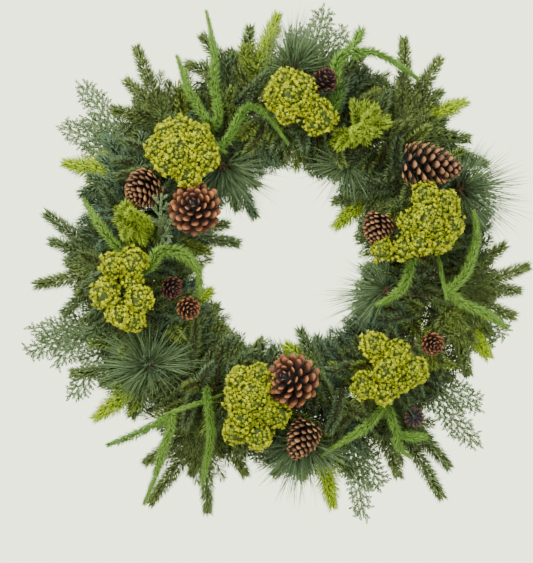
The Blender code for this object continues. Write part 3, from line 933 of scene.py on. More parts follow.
class ScaleSpiral(GeometryTree):
    """The scales of a cone, planted up a golden-angle spiral round its core."""

    def __init__(self) -> None:
        """Builds the tree, whose cone stands on the origin along +Z."""
        super().__init__(
            "scale_spiral",
            [
                ("Scale Shape", "NodeSocketObject"),
                ("Scales", "NodeSocketInt"),
                ("Length", "NodeSocketFloat"),
                ("Radius", "NodeSocketFloat"),
                ("Lean At Base", "NodeSocketFloat"),
                ("Lean At Tip", "NodeSocketFloat"),
                ("Plumpness", "NodeSocketFloat"),
                ("Disorder", "NodeSocketFloat"),
                ("Seed", "NodeSocketInt"),
                ("Material", "NodeSocketMaterial"),
            ],
        )
        nodes, seed = self.nodes, self.given("Seed")
        index = nodes.add("GeometryNodeInputIndex")
        share = (index + 0.5) / self.given("Scales")
        outline = ((share * 0.87 + 0.13) ** 0.72 * math.pi).maths("SINE") ** 0.62
        turn = index * GOLDEN_ANGLE + nodes.random(-0.08, 0.08, seed)
        around = nodes.add(
            "ShaderNodeCombineXYZ", {}, {0: turn.maths("COSINE"), 1: turn.maths("SINE"), 2: 0.0}
        )
        core = self.given("Radius") * outline * 0.16
        lean = self.given("Lean At Base") + (self.given("Lean At Tip") - self.given("Lean At Base")) * share
        lean = lean + nodes.random(-1.0, 1.0, seed + 1.0) * self.given("Disorder")
        reach = (self.given("Radius") * outline - core) / lean.maths("SINE").maths("MAXIMUM", 0.45)
        height = self.given("Length") * share - reach * lean.maths("COSINE") * 0.86
        up = nodes.add("ShaderNodeCombineXYZ", {}, {2: height.maths("MAXIMUM", self.given("Length") * 0.03)})
        place = nodes.vector("ADD", nodes.scaled(around, core), up)
        values = {"Count": self.given("Scales"), "Position": place}
        points = nodes.add("GeometryNodePoints", {}, values)
        axis = nodes.add("ShaderNodeCombineXYZ", {}, {2: 1.0})
        way = nodes.vector(
            "ADD",
            nodes.scaled(around, lean.maths("SINE")),
            nodes.scaled(axis, lean.maths("COSINE")),
        )
        facing = nodes.add(
            "FunctionNodeAxesToRotation", {"primary_axis": "Z", "secondary_axis": "Y"}, {0: way, 1: axis}
        )
        size = reach * nodes.random(0.93, 1.04, seed + 2.0)
        width = (size * 0.55 + self.given("Radius") * 0.28) * self.given("Plumpness")
        scale = nodes.add("ShaderNodeCombineXYZ", {}, {0: width, 1: width, 2: size})
        shape = nodes.add("GeometryNodeObjectInfo", {}, {"Object": self.given("Scale Shape")}, "Geometry")
        values = {"Points": points, "Instance": shape, "Rotation": facing, "Scale": scale}
        scales = self.tinted(nodes.add("GeometryNodeInstanceOnPoints", {}, values), seed + 3.0)
        scales = nodes.add("GeometryNodeRealizeInstances", {}, {"Geometry": scales})
        values = {"Geometry": scales, "Material": self.given("Material")}
        self.finish([self.given("Geometry"), nodes.add("GeometryNodeSetMaterial", {}, values)])


# --------------------------------------------------------------------------- plants


class Plant(Enum):
    """The greenery of the wreath: a name for each kind."""

    FIR = "fir_needles"
    LIME = "lime_needles"
    PINE = "pine_needles"
    CEDAR = "cedar_scales"
    FOXTAIL = "foxtail_leaf"
    FLOWER = "flower_clusters"
    CONE = "cone_scales"


@dataclass(frozen=True)
class LeafHabit:
    """How one kind of plant carries its leaves, in metres and radians."""

    leaf: str
    length: float
    width: float
    spacing: float
    lean: float
    lean_at_tip: float
    flatten: float
    finish: str
    bark: str
    unruly: float = 0.2
    twig_sides: int = 4


@dataclass
class Workshop:
    """The trees, planted shapes and materials that every plant shares."""

    leafy: LeafyTwigs = field(default_factory=LeafyTwigs)
    cover: FloretCover = field(default_factory=FloretCover)
    spiral: ScaleSpiral = field(default_factory=ScaleSpiral)
    shapes: dict[str, bpy.types.Object] = field(default_factory=dict)
    materials: dict[str, bpy.types.Material] = field(default_factory=dict)

    def stock(self) -> None:
        """Makes the planted shapes and the materials."""
        self.shapes["needle"] = kite("needle_shape", 0.62, -0.4)
        self.shapes["long_needle"] = spindle(
            "long_needle_shape", [(0.3, 0.5, 0.45, -1.3), (0.7, 0.42, 0.38, -1.2)], 3
        )
        self.shapes["scale_leaf"] = kite("scale_leaf_shape", 0.42, -0.4)
        self.shapes["soft_leaf"] = kite("soft_leaf_shape", 0.45, -0.6)
        self.shapes["floret"] = star_floret()
        self.shapes["scale"] = cone_scale()
        finishes = (
            FIR_FINISH, PINE_FINISH, CEDAR_FINISH, FOXTAIL_FINISH, FLOWER_FINISH, TWIG_FINISH,
            GREEN_TWIG_FINISH, FLOWER_CORE_FINISH, CONE_FINISH, RED_CONE_FINISH, DARK_CONE_FINISH,
            WIRE_FINISH, BINDING_FINISH,
        )
        for finish in finishes:
            self.materials[finish.name] = finish.material()

    def clear(self) -> None:
        """Removes the planted shapes, which are no part of the wreath."""
        for shape in self.shapes.values():
            bpy.data.objects.remove(shape)

    def leafed(self, name: str, twigs: Sequence[Twig], habit: LeafHabit, seed: int) -> bpy.types.Object:
        """Grows leaves of one habit on the twigs and returns the piece."""
        settings = {
            "Leaf": self.shapes[habit.leaf],
            "Leaf Length": habit.length,
            "Leaf Width": habit.width,
            "Spacing": habit.spacing,
            "Lean": habit.lean,
            "Lean At Tip": habit.lean_at_tip,
            "Flatten": habit.flatten,
            "Unruly": habit.unruly,
            "Twig Sides": habit.twig_sides,
            "Seed": seed,
            "Leaf Material": self.materials[habit.finish],
            "Twig Material": self.materials[habit.bark],
        }
        return self.leafy.applied(name, twig_mesh(name, twigs), settings)


FIR_HABIT = LeafHabit(
    "needle", 16.0 * MM, 1.5 * MM, 0.29 * MM, math.radians(58), math.radians(28), 0.15,
    "fir_needles", "woody_twig", 0.15, 3,
)
LIME_HABIT = LeafHabit(
    "needle", 11.5 * MM, 1.5 * MM, 0.25 * MM, math.radians(58), math.radians(22), 0.0,
    "fir_needles", "green_twig", 0.2, 3,
)
PINE_HABIT = LeafHabit(
    "long_needle", 62.0 * MM, 0.9 * MM, 0.62 * MM, math.radians(34), math.radians(14), 0.1,
    "pine_needles", "woody_twig", 0.5,
)
CEDAR_HABIT = LeafHabit(
    "scale_leaf", 3.8 * MM, 2.3 * MM, 0.75 * MM, math.radians(28), math.radians(14), 0.3,
    "cedar_scales", "green_twig", 0.2, 3,
)
FOXTAIL_HABIT = LeafHabit(
    "soft_leaf", 9.5 * MM, 0.85 * MM, 0.09 * MM, math.radians(50), math.radians(12), 0.0,
    "foxtail_leaves", "green_twig", 0.35, 3,
)


def numbers_of(mesh: bpy.types.Mesh, key: str) -> np.ndarray:
    """A point attribute of a mesh, zero where the mesh has none."""
    numbers = np.zeros(len(mesh.vertices), np.float32)
    if key in mesh.attributes:
        mesh.attributes[key].data.foreach_get("value", numbers)
    return numbers


def places_of(mesh: bpy.types.Mesh) -> np.ndarray:
    """The places of a mesh's vertices, one row each."""
    places = np.empty(len(mesh.vertices) * 3, np.float32)
    mesh.vertices.foreach_get("co", places)
    return places.reshape(-1, 3)


def triangles(piece: bpy.types.Object) -> int:
    """How many triangles a mesh piece has."""
    return len(piece.data.loops) - 2 * len(piece.data.polygons)


def press_to_wall(mesh: bpy.types.Mesh) -> None:
    """Presses what would stand behind the ring flat against the wall plane."""
    places = places_of(mesh)
    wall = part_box("ring_frame")[1].y + WALL_PLAY
    behind = places[:, 1] > wall
    places[behind, 1] = wall + (places[behind, 1] - wall) * WALL_PRESS
    mesh.vertices.foreach_set("co", places.ravel())
    mesh.update()


def map_leaves(mesh: bpy.types.Mesh, leaf_share: float) -> None:
    """Gives a mesh the map that it is baked through.

    Every leaf has its own cell, in rows that fill leaf_share of the map's height. All the rest lies above
    them as it is seen from the front, a little sheared so that no face is edge on.

    Args:
        mesh: the grown mesh.
        leaf_share: the share of the map's height that the leaves get.
    """
    cell, across, up = (numbers_of(mesh, key) for key in ("cell", "cell_u", "cell_v"))
    leaves = cell > 0.5
    columns = max(1, math.ceil(math.sqrt(cell.max() / leaf_share)))
    rows = max(1, math.ceil(cell.max() / columns))
    number = cell - 1.0
    inner = 1.0 - 2.0 * CELL_MARGIN
    u = (number % columns + CELL_MARGIN + inner * across) / columns
    v = (number // columns + CELL_MARGIN + inner * up) / rows * leaf_share
    places = places_of(mesh)
    if not leaves.all():
        front = np.stack([places[:, 0] + 0.3 * places[:, 1], places[:, 2] + 0.2 * places[:, 1]], 1)
        low, high = front[~leaves].min(0), front[~leaves].max(0)
        front = CELL_MARGIN / 4 + (1.0 - CELL_MARGIN / 2) * (front - low) / (high - low)
        u = np.where(leaves, u, front[:, 0])
        v = np.where(leaves, v, leaf_share + (1.0 - leaf_share) * front[:, 1])
    corners = np.empty(len(mesh.loops), np.int32)
    mesh.loops.foreach_get("vertex_index", corners)
    layer = mesh.uv_layers.new(name=BAKE_MAP, do_init=False)
    layer.uv.foreach_set("vector", np.stack([u, v], 1)[corners].astype(np.float32).ravel())
    for key in ("cell", "cell_u", "cell_v"):
        if key in mesh.attributes:
            mesh.attributes.remove(mesh.attributes[key])


def declare(piece: bpy.types.Object, node: str, leaf_share: float = 0.92) -> None:
    """Rides a finished piece on the wreath in the place of its CAD solid.

    Args:
        piece: the finished piece.
        node: the CAD solid that it replaces.
        leaf_share: the share of its bake map that its leaves get, or 0 for a piece without such a map.
    """
    press_to_wall(piece.data)
    if leaf_share:
        map_leaves(piece.data, leaf_share)
    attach(piece, "root")
    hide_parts(node)
    LOG.info("%s: %d triangles", piece.name, triangles(piece))


@dataclass
class Spray:
    """A stem whose sprigs part at one point, read from its CAD solid."""

    node: str
    seed: int
    walks: list[Walk] = field(default_factory=list)
    hub: Vector = field(default_factory=Vector)
    stem: tuple[Vector, Vector] = (Vector(), Vector())

    def read(self) -> None:
        """Reads the sprigs, the point where they part, and the stem's end from the frame."""
        shape = CadShape(self.node)
        self.walks = shape.walks(4)
        self.hub = meeting_point(self.walks)
        self.walks = sorted(self.walks, key=lambda walk: self._turn(walk.tip))
        self.stem = shape.stem_end(self.hub)
        shape.free()
        self.chance = random.Random(self.seed)

    def _turn(self, tip: Vector) -> float:
        """How far round the clock a tip is from the spray's own middle."""
        middle = sum((walk.tip for walk in self.walks), Vector()) / len(self.walks)
        turned = clock_angle(tip) - clock_angle(middle)
        return (turned + math.pi) % math.tau - math.pi

    def stem_twig(self, girth: float) -> Twig:
        """The bare stem from under the binding wire to where the sprigs part."""
        far, near = self.stem
        knee = Vector((near.x, near.y + (self.hub.y - near.y) * 0.8, near.z))
        line = smooth_line([far, near, knee, self.hub], 3)
        return Twig(line, girth, (0.0, 0.0, 0.0), 2.0)

    def wander(self, size: float) -> Vector:
        """A random offset of up to size along each axis."""
        return Vector([self.chance.uniform(-size, size) for _ in range(3)])


@dataclass
class FirSpray(Spray):
    """A fir spray: brush-like sprigs with side shoots, and short shoots that fill in at the ring."""

    cool: float = 0.3
    fresh: tuple[int, ...] = ()
    sector: tuple[float, float] = (0.0, 30.0)
    inward: bool = False
    sprig_clearance: float = 9.0 * MM
    girth: float = 1.5 * MM

    def twigs(self) -> list[Twig]:
        """All the twigs of the spray."""
        made = [self.stem_twig(2.0 * MM)]
        for number, walk in enumerate(self.walks):
            young = 1.0 if number in self.fresh else 0.0
            made.extend(self._sprig(walk, young))
        low, high = self.sector
        span = high - low
        if self.inward:
            self._fill(made, round(span * 0.75), (0.80, 0.92), (6, 34), self._inner_end)
            self._lay(made, round(span * 0.5), (0.62, 0.88))
        else:
            self._lay(made, round(span * 0.8), (0.76, 1.06))
            self._lay(made, round(span * 0.5), (1.06, 1.24))
            self._fill(made, round(span * 0.95), (0.88, 1.06), (4, 30), self._outer_end)
            self._fill(made, round(span * 0.55), (0.80, 0.98), (16, 34), self._front_end)
        return made

    def _sprig(self, walk: Walk, young: float) -> list[Twig]:
        """One long blunt sprig and the side shoots near its root."""
        end = walk.tip - walk.heading * self.sprig_clearance + FORWARD * self.chance.uniform(-3, 6) * MM
        line = arc(self.hub, end, self.wander(3.0 * MM), 8)
        cool = self.cool * self.chance.uniform(0.4, 1.3)
        made = [
            Twig([place + FORWARD * shift * MM for place in line], self.girth, size, 0.0, young, cool)
            for shift, size in SPRIG_LINES
        ]
        length = (end - self.hub).length
        side_way = (end - self.hub).cross(FORWARD).normalized()
        if young:
            outer = line[len(line) // 2:]
            for shift in (-4.0, 4.0):
                beside = [place + side_way * shift * MM for place in outer[:-1]]
                made.append(Twig(beside, self.girth * 0.5, (0.9, 1.0, 0.8), 0.0, young, cool))
        for share in SIDE_SHOOT_SHARES:
            for side in (-1.0, 1.0):
                start, heading = along_line(line, share + self.chance.uniform(-0.05, 0.05))
                angle = math.radians(self.chance.uniform(24, 40))
                turn = heading * math.cos(angle) + side_way * (math.sin(angle) * side)
                turn += FORWARD * self.chance.uniform(-0.3, 0.4)
                reach = min(46 * MM, length * (1 - share) * self.chance.uniform(0.42, 0.56))
                points = arc(start, start + turn.normalized() * reach, self.wander(1.5 * MM), 4)
                made.append(Twig(points, self.girth * 0.7, (0.7, 0.85, 0.7), 0.0, young * 0.6, cool))
        return made

    def _fill(self, made: list[Twig], count: int, radii: tuple[float, float], depths: tuple[float, float],
              end_of: Any) -> None:
        """Adds short shoots that hide the ring and the stems between the long sprigs.

        Args:
            made: the list to add to.
            count: how many shoots.
            radii: the least and greatest starting radius, as shares of the ring's.
            depths: the least and greatest starting depth, in millimetres.
            end_of: gives a shoot's end from its clock angle and depth.
        """
        low, high = (math.radians(limit) for limit in self.sector)
        for number in range(count):
            angle = low + (high - low) * (number + self.chance.random()) / count
            depth = self.chance.uniform(*depths) * MM
            start = ring_place(angle, RING_OUTER * self.chance.uniform(*radii), depth)
            end = end_of(angle, depth)
            cool = min(1.0, max(0.0, self.cool + self.chance.uniform(-0.3, 0.5)))
            young = FILL_YOUTH if self.chance.random() < FILL_YOUNG_SHARE else 0.0
            points = arc(start, end, self.wander(4 * MM), 5)
            made.append(Twig(points, self.girth * 0.8, (0.7, 0.85, 0.7), 0.0, young, cool))

    def _lay(self, made: list[Twig], count: int, radii: tuple[float, float]) -> None:
        """Adds shoots in deep shade that lie along the ring, between the same limits as those of _fill; their
        leaves are darkened with painted shade.
        """
        low, high = (math.radians(limit) for limit in self.sector)
        for number in range(count):
            angle = low + (high - low) * (number + self.chance.random()) / count
            radius = RING_OUTER * self.chance.uniform(*radii)
            start = ring_place(angle, radius, self.chance.uniform(5, 16) * MM)
            turn = self.chance.choice((-1.0, 1.0)) * self.chance.uniform(0.2, 0.3)
            reach = radius + self.chance.uniform(-16, 20) * MM
            end = ring_place(angle + turn, reach, self.chance.uniform(5, 18) * MM)
            points = arc(start, end, self.wander(3 * MM), 5)
            # dark 0.8: painted shade on these shoots' leaves
            made.append(Twig(points, self.girth * 0.8, (1.1, 1.3, 1.1), 0.0, 0.0, self.cool, 0.8))

    def _outer_end(self, angle: float, depth: float) -> Vector:
        """Where an outward shoot ends."""
        turn = angle + self.chance.gauss(0.0, 0.12)
        return ring_place(turn, self.chance.uniform(212, 252) * MM, depth + self.chance.uniform(-6, 14) * MM)

    def _front_end(self, angle: float, depth: float) -> Vector:
        """Where a shoot that stands forward ends."""
        turn = angle + self.chance.gauss(0.0, 0.16)
        radius = self.chance.choice((self.chance.uniform(128, 160), self.chance.uniform(190, 232)))
        return ring_place(turn, radius * MM, depth + self.chance.uniform(14, 30) * MM)

    def _inner_end(self, angle: float, depth: float) -> Vector:
        """Where an inward shoot ends, on the oval edge of the hole."""
        turn = angle + self.chance.gauss(0.0, 0.14)
        rim = 90 + 18 * abs(math.cos(angle))
        reach = (rim + self.chance.uniform(-2, 26)) * MM
        return ring_place(turn, reach, depth + self.chance.uniform(-6, 16) * MM)

    def build(self, workshop: Workshop) -> bpy.types.Object:
        """Builds the spray's piece."""
        self.read()
        piece = workshop.leafed(self.node + "_needled", self.twigs(), FIR_HABIT, self.seed)
        declare(piece, self.node)
        return piece


@dataclass
class LimeTip(Spray):
    """Young fir shoots that face the viewer, bright yellow-green."""

    def build(self, workshop: Workshop) -> bpy.types.Object:
        """Builds the piece."""
        self.read()
        made = [self.stem_twig(1.6 * MM)]
        for walk in self.walks:
            end = walk.tip - walk.heading * 3 * MM
            fresh = self.chance.uniform(0.55, 0.95)
            line = arc(self.hub, end, self.wander(2 * MM), 5)
            made.append(Twig(line, 1.1 * MM, (0.9, 1.0, 0.8), 0.0, fresh, 0.2))
            for _ in range(4):
                start, heading = along_line(line, self.chance.uniform(0.15, 0.6))
                turn = (heading + self.wander(0.8)).normalized()
                points = arc(start, start + turn * self.chance.uniform(14, 22) * MM, Vector(), 3)
                made.append(Twig(points, 0.8 * MM, (0.85, 1.0, 0.75), 0.0, fresh * 0.9, 0.2))
        piece = workshop.leafed(self.node + "_needled", made, LIME_HABIT, self.seed)
        declare(piece, self.node)
        return piece


@dataclass
class PineTuft(Spray):
    """A pine tuft: short shoots with sheaves of long fine needles."""

    cool: float = 0.35

    def build(self, workshop: Workshop) -> bpy.types.Object:
        """Builds the piece."""
        self.read()
        made = [self.stem_twig(2.0 * MM)]
        for walk in self.walks:
            length = (walk.tip - self.hub).length
            shoot = max(12 * MM, length - PINE_HABIT.length * 0.82)
            for _ in range(4):
                turn = walk.heading + self.wander(0.36)
                turn = (turn + FORWARD * self.chance.uniform(-0.08, 0.3)).normalized()
                start = self.hub + self.wander(3 * MM)
                reach = shoot * self.chance.uniform(0.75, 1.0)
                points = arc(start, start + turn * reach, self.wander(1.5 * MM), 4)
                size = min(1.0, length / PINE_HABIT.length * 0.95) * self.chance.uniform(0.65, 1.0)
                cool = self.cool * self.chance.uniform(0.5, 1.6)
                made.append(Twig(points, 1.4 * MM, (size * 0.9, size, size * 0.95), 0.0, 0.0, cool))
        piece = workshop.leafed(self.node + "_needled", made, PINE_HABIT, self.seed)
        declare(piece, self.node)
        return piece


@dataclass
class CedarFrond(Spray):
    """A cedar frond: flat lacy branching covered in scale leaves."""

    pitch: float = 5.4 * MM
    branch: float = 26.0 * MM
    angle: float = math.radians(38)
    cool: float = 0.4

    def build(self, workshop: Workshop) -> bpy.types.Object:
        """Builds the piece."""
        self.read()
        made = [self.stem_twig(1.6 * MM)]
        for walk in self.walks:
            end = walk.tip + FORWARD * self.chance.uniform(-2, 8) * MM
            made.extend(self._frond(self.hub, end, self.branch, 2))
        piece = workshop.leafed(self.node + "_lacy", made, CEDAR_HABIT, self.seed)
        declare(piece, self.node)
        return piece

    def _frond(self, start: Vector, end: Vector, branch: float, depth: int) -> list[Twig]:
        """One axis and, while depth lasts, its side branches."""
        length = (end - start).length
        line = arc(start, end, self.wander(length * 0.03), max(3, int(length / (6 * MM))))
        cool = self.cool * self.chance.uniform(0.3, 1.7)
        made = [Twig(line, (0.35 + 0.3 * depth) * MM, (1.0, 1.0, 0.8), 0.0, 0.15, cool)]
        if depth == 0:
            return made
        side_way = (end - start).cross(FORWARD).normalized()
        pitch = self.pitch * (1.0 if depth == 2 else 0.62)
        count = int(length / pitch)
        for number in range(1, count):
            share = number / count
            side = 1.0 if number % 2 else -1.0
            place, heading = along_line(line, share)
            way = heading * math.cos(self.angle) + side_way * (math.sin(self.angle) * side)
            way = (way + FORWARD * self.chance.uniform(-0.2, 0.3)).normalized()
            taper = math.sin(math.pi * min(1.0, 0.25 + share * 0.7)) ** 0.7
            reach = branch * taper * self.chance.uniform(0.75, 1.1)
            if reach > 3 * MM:
                made.extend(self._frond(place, place + way * reach, branch * 0.38, depth - 1))
        return made


@dataclass
class Foxtail:
    """Soft tapering tails that follow the CAD tubes."""

    node: str
    seed: int
    fresh: float = 0.25
    fullness: float = 1.0

    def build(self, workshop: Workshop) -> bpy.types.Object:
        """Builds the piece."""
        shape = CadShape(self.node)
        walks = sorted(shape.walks(4), key=lambda walk: -len(walk.places))
        lines: list[list[Vector]] = []
        for walk in walks:
            lines.append(shape.rooted(walk, lines))
        root = lines[0][-1]
        far, near = shape.stem_end(root)
        shape.free()
        chance = random.Random(self.seed)
        knee = Vector((near.x, root.y, near.z))
        stem = smooth_line([far, near, knee.lerp(near, 0.3), root], 3)
        made = [Twig(stem, 1.6 * MM, (0.0, 0.0, 1.0), 0.5, self.fresh, 0.1)]
        for places in lines:
            line = smooth_line(places[::-1], 4)
            fresh = self.fresh * chance.uniform(0.4, 1.8)
            size = (self.fullness * 0.95, self.fullness, 0.3 + (self.fullness - 1.0) * 0.9)
            made.append(Twig(line, 1.3 * MM, size, 0.0, fresh, 0.1))
        piece = workshop.leafed(self.node + "_plume", made, FOXTAIL_HABIT, self.seed)
        declare(piece, self.node)
        return piece


@dataclass
class FlowerHead:
    """A domed head of small star florets on pale green rays."""

    node: str
    seed: int
    voxel: float = 1.9 * MM
    swell: float = 2.6 * MM
    lobe_thick: float = 8.0 * MM
    floret: float = 3.1 * MM
    gap: float = 2.5 * MM

    def build(self, workshop: Workshop) -> bpy.types.Object:
        """Builds the piece."""
        low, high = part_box(self.node)
        settings = {
            "Floret": workshop.shapes["floret"],
            "Floret Size": self.floret,
            "Gap": self.gap,
            "Behind": low.y + (high.y - low.y) * 0.36,
            "Seed": self.seed,
            "Petal Material": workshop.materials["flower_petals"],
            "Stalk Material": workshop.materials["flower_rays"],
        }
        piece = workshop.cover.applied(self.node + "_florets", self._rounded(), settings)
        piece.data.shade_smooth()
        declare(piece, self.node, 0.78)
        return piece

    def _rounded(self) -> bpy.types.Mesh:
        """The CAD head with its balls rounded and drawn in, for the florets to stand on."""
        shape = bmesh.new()
        shape.from_mesh(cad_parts[self.node].data)
        bmesh.ops.remove_doubles(shape, verts=shape.verts, dist=WELD)
        mesh = bpy.data.meshes.new(self.node + "_core")
        shape.to_mesh(mesh)
        shape.free()
        even = self._evened(mesh, 8)
        self._swell(even)
        return self._evened(even, 3)

    def _evened(self, mesh: bpy.types.Mesh, passes: int) -> bpy.types.Mesh:
        """A copy of a mesh with even faces, softened in passes; the mesh is removed."""
        host = bpy.data.objects.new(mesh.name, mesh)
        bpy.context.scene.collection.objects.link(host)
        remesh = host.modifiers.new("even", "REMESH")
        remesh.mode = "VOXEL"
        remesh.voxel_size = self.voxel
        soften = host.modifiers.new("soften", "SMOOTH")
        soften.factor = 0.6
        soften.iterations = passes
        depsgraph = bpy.context.evaluated_depsgraph_get()
        rounded = bpy.data.meshes.new_from_object(host.evaluated_get(depsgraph))
        bpy.data.objects.remove(host)
        bpy.data.meshes.remove(mesh)
        return rounded

    def _swell(self, mesh: bpy.types.Mesh) -> None:
        """Swells the lobes until neighbours meet, and leaves the thin rays as they are."""
        shape = bmesh.new()
        shape.from_mesh(mesh)
        tree = BVHTree.FromBMesh(shape)
        for vert in shape.verts:
            inward = -vert.normal
            _, _, _, thick = tree.ray_cast(vert.co + inward * 0.1 * MM, inward)
            share = min(1.0, max(0.0, ((thick or 0.0) - self.lobe_thick) / self.lobe_thick))
            vert.co -= inward * self.swell * share
        shape.to_mesh(mesh)
        shape.free()


@dataclass
class PineCone:
    """A pine cone: a core in painted shade with woody scales up a spiral, and its wire pick."""

    node: str
    seed: int
    scales: int
    lean_base: float
    lean_tip: float
    plump: float
    disorder: float = 0.07
    finish: ConeFinish = CONE_FINISH

    def build(self, workshop: Workshop) -> bpy.types.Object:
        """Builds the piece."""
        shape = CadShape(self.node)
        walks = shape.walks(7)
        walk = max(walks, key=lambda each: max(each.radii))
        far, near = shape.stem_end(walk.places[-1])
        shape.free()
        tip, foot = walk.places[0], walk.places[-1]
        axis = (tip - foot).normalized()
        length, radius = (tip - foot).length, max(walk.radii)
        bark = workshop.materials[self.finish.name]
        settings = {
            "Scale Shape": workshop.shapes["scale"],
            "Scales": self.scales,
            "Length": length,
            "Radius": radius * 1.04,
            "Lean At Base": self.lean_base,
            "Lean At Tip": self.lean_tip,
            "Plumpness": self.plump,
            "Disorder": self.disorder,
            "Seed": self.seed,
            "Material": bark,
        }
        piece = workshop.spiral.applied(self.node + "_scaled", self._core(length, radius, bark), settings)
        turn = axis.to_track_quat("Z", "X").to_matrix().to_4x4()
        piece.data.transform(Matrix.Translation(foot) @ turn)
        self._add_pick(piece, far, near, foot, workshop.materials["binding_enamel"])
        declare(piece, self.node, 0.0)
        return piece

    def _core(self, length: float, radius: float, bark: bpy.types.Material) -> bpy.types.Mesh:
        """The closed core that the scales grow from."""
        shape = bmesh.new()
        rows, sides, steps = [], 10, 8
        for step in range(steps):
            t = step / (steps - 1)
            reach = radius * 0.36 * math.sin(math.pi * (0.16 + 0.8 * t)) ** 0.7
            rows.append([
                shape.verts.new((
                    math.cos(math.tau * k / sides) * reach,
                    math.sin(math.tau * k / sides) * reach,
                    length * (0.02 + 0.86 * t),
                ))
                for k in range(sides)
            ])
        for low, high in zip(rows, rows[1:]):
            for k in range(sides):
                shape.faces.new((low[k], low[(k + 1) % sides], high[(k + 1) % sides], high[k]))
        shape.faces.new(rows[0][::-1])
        shape.faces.new(rows[-1])
        mesh = bpy.data.meshes.new(self.node + "_core")
        shape.to_mesh(mesh)
        shape.free()
        # the core has no along attribute, so it takes the scales' root colour, painted shade
        mesh.materials.append(bark)
        return mesh

    @staticmethod
    def _add_pick(piece: bpy.types.Object, far: Vector, near: Vector, foot: Vector,
                  wire: bpy.types.Material) -> None:
        """Joins the wire pick, from under the binding wire to the cone's foot, to the piece."""
        knee = Vector((near.x, near.y + (foot.y - near.y) * 0.75, near.z))
        mesh = tube_mesh("pick", smooth_line([far, near, knee, foot], 4), 0.8 * MM, 6)
        shape = bmesh.new()
        shape.from_mesh(piece.data)
        count = len(shape.faces)
        shape.from_mesh(mesh)
        shape.faces.ensure_lookup_table()
        piece.data.materials.append(wire)
        for face in shape.faces[count:]:
            face.material_index = len(piece.data.materials) - 1
            face.smooth = True
        shape.to_mesh(piece.data)
        shape.free()
        bpy.data.meshes.remove(mesh)


# --------------------------------------------------------------------------- ring and wire


def tube_mesh(
    name: str, points: Sequence[Vector], radius: float, sides: int, closed: bool = False
) -> bpy.types.Mesh:
    """A round tube along points.

    Args:
        name: the mesh's name.
        points: its centre line.
        radius: its radius.
        sides: corners of its section.
        closed: whether its ends meet.
    Returns:
        A closed mesh with its faces pointing out.
    """
    curve = bpy.data.curves.new(name, "CURVE")
    curve.dimensions = "3D"
    curve.bevel_depth = radius
    curve.bevel_resolution = max(0, sides // 2 - 2)
    curve.use_fill_caps = not closed
    spline = curve.splines.new("POLY")
    spline.points.add(len(points) - 1)
    spline.points.foreach_set("co", [value for point in points for value in (*point, 1.0)])
    spline.use_cyclic_u = closed
    host = bpy.data.objects.new(name, curve)
    bpy.context.scene.collection.objects.link(host)
    mesh = bpy.data.meshes.new_from_object(host.evaluated_get(bpy.context.evaluated_depsgraph_get()))
    bpy.data.objects.remove(host)
    bpy.data.curves.remove(curve)
    shape = bmesh.new()
    shape.from_mesh(mesh)
    bmesh.ops.remove_doubles(shape, verts=shape.verts, dist=WELD)
    bmesh.ops.recalc_face_normals(shape, faces=shape.faces)
    shape.to_mesh(mesh)
    shape.free()
    mesh.shade_smooth()
    return mesh


@dataclass
class WireWork:
    """The ring, its hanging loop and the binding wire."""

    rail: float = 2.0 * MM
    bar: float = 1.3 * MM
    bars: int = 8
    rail_gap: float = 24.0 * MM
    weld: float = 2.7 * MM
    segments: int = 120

    def build(self, workshop: Workshop) -> None:
        """Dresses the CAD wire and rounds the ring."""
        for node, finish in (("hanging_loop", "ring_enamel"), ("binding_wire", "binding_enamel")):
            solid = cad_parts[node]
            solid.data.materials.clear()
            solid.data.materials.append(workshop.materials[finish])
        piece = self._ring(workshop.materials["ring_enamel"])
        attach(piece, "root")
        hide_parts("ring_frame")
        LOG.info("%s: %d triangles", piece.name, triangles(piece))

    def _ring(self, enamel: bpy.types.Material) -> bpy.types.Object:
        """Two round rails, the bars between them and the weld beads where they meet."""
        outer = RING_OUTER - self.rail
        shape = bmesh.new()
        for radius in (outer, outer - self.rail_gap):
            circle = [ring_place(math.tau * k / self.segments, radius, 0.0) for k in range(self.segments)]
            self._take(shape, tube_mesh("rail", circle, self.rail, 10, closed=True))
        for bar in range(self.bars):
            angle = math.tau * (bar + 0.5) / self.bars
            ends = [ring_place(angle, outer - self.rail_gap, 0.0), ring_place(angle, outer, 0.0)]
            self._take(shape, tube_mesh("bar", ends, self.bar, 8))
            for end in ends:
                place = Matrix.Translation(end)
                bmesh.ops.create_icosphere(shape, subdivisions=2, radius=self.weld, matrix=place)
        mesh = bpy.data.meshes.new("ring_rails")
        for face in shape.faces:
            face.smooth = True
        shape.to_mesh(mesh)
        shape.free()
        mesh.materials.append(enamel)
        piece = bpy.data.objects.new("ring_rails", mesh)
        bpy.context.scene.collection.objects.link(piece)
        return piece

    @staticmethod
    def _take(shape: bmesh.types.BMesh, mesh: bpy.types.Mesh) -> None:
        """Adds a mesh to the shape and removes it."""
        shape.from_mesh(mesh)
        bpy.data.meshes.remove(mesh)


# --------------------------------------------------------------------------- studio


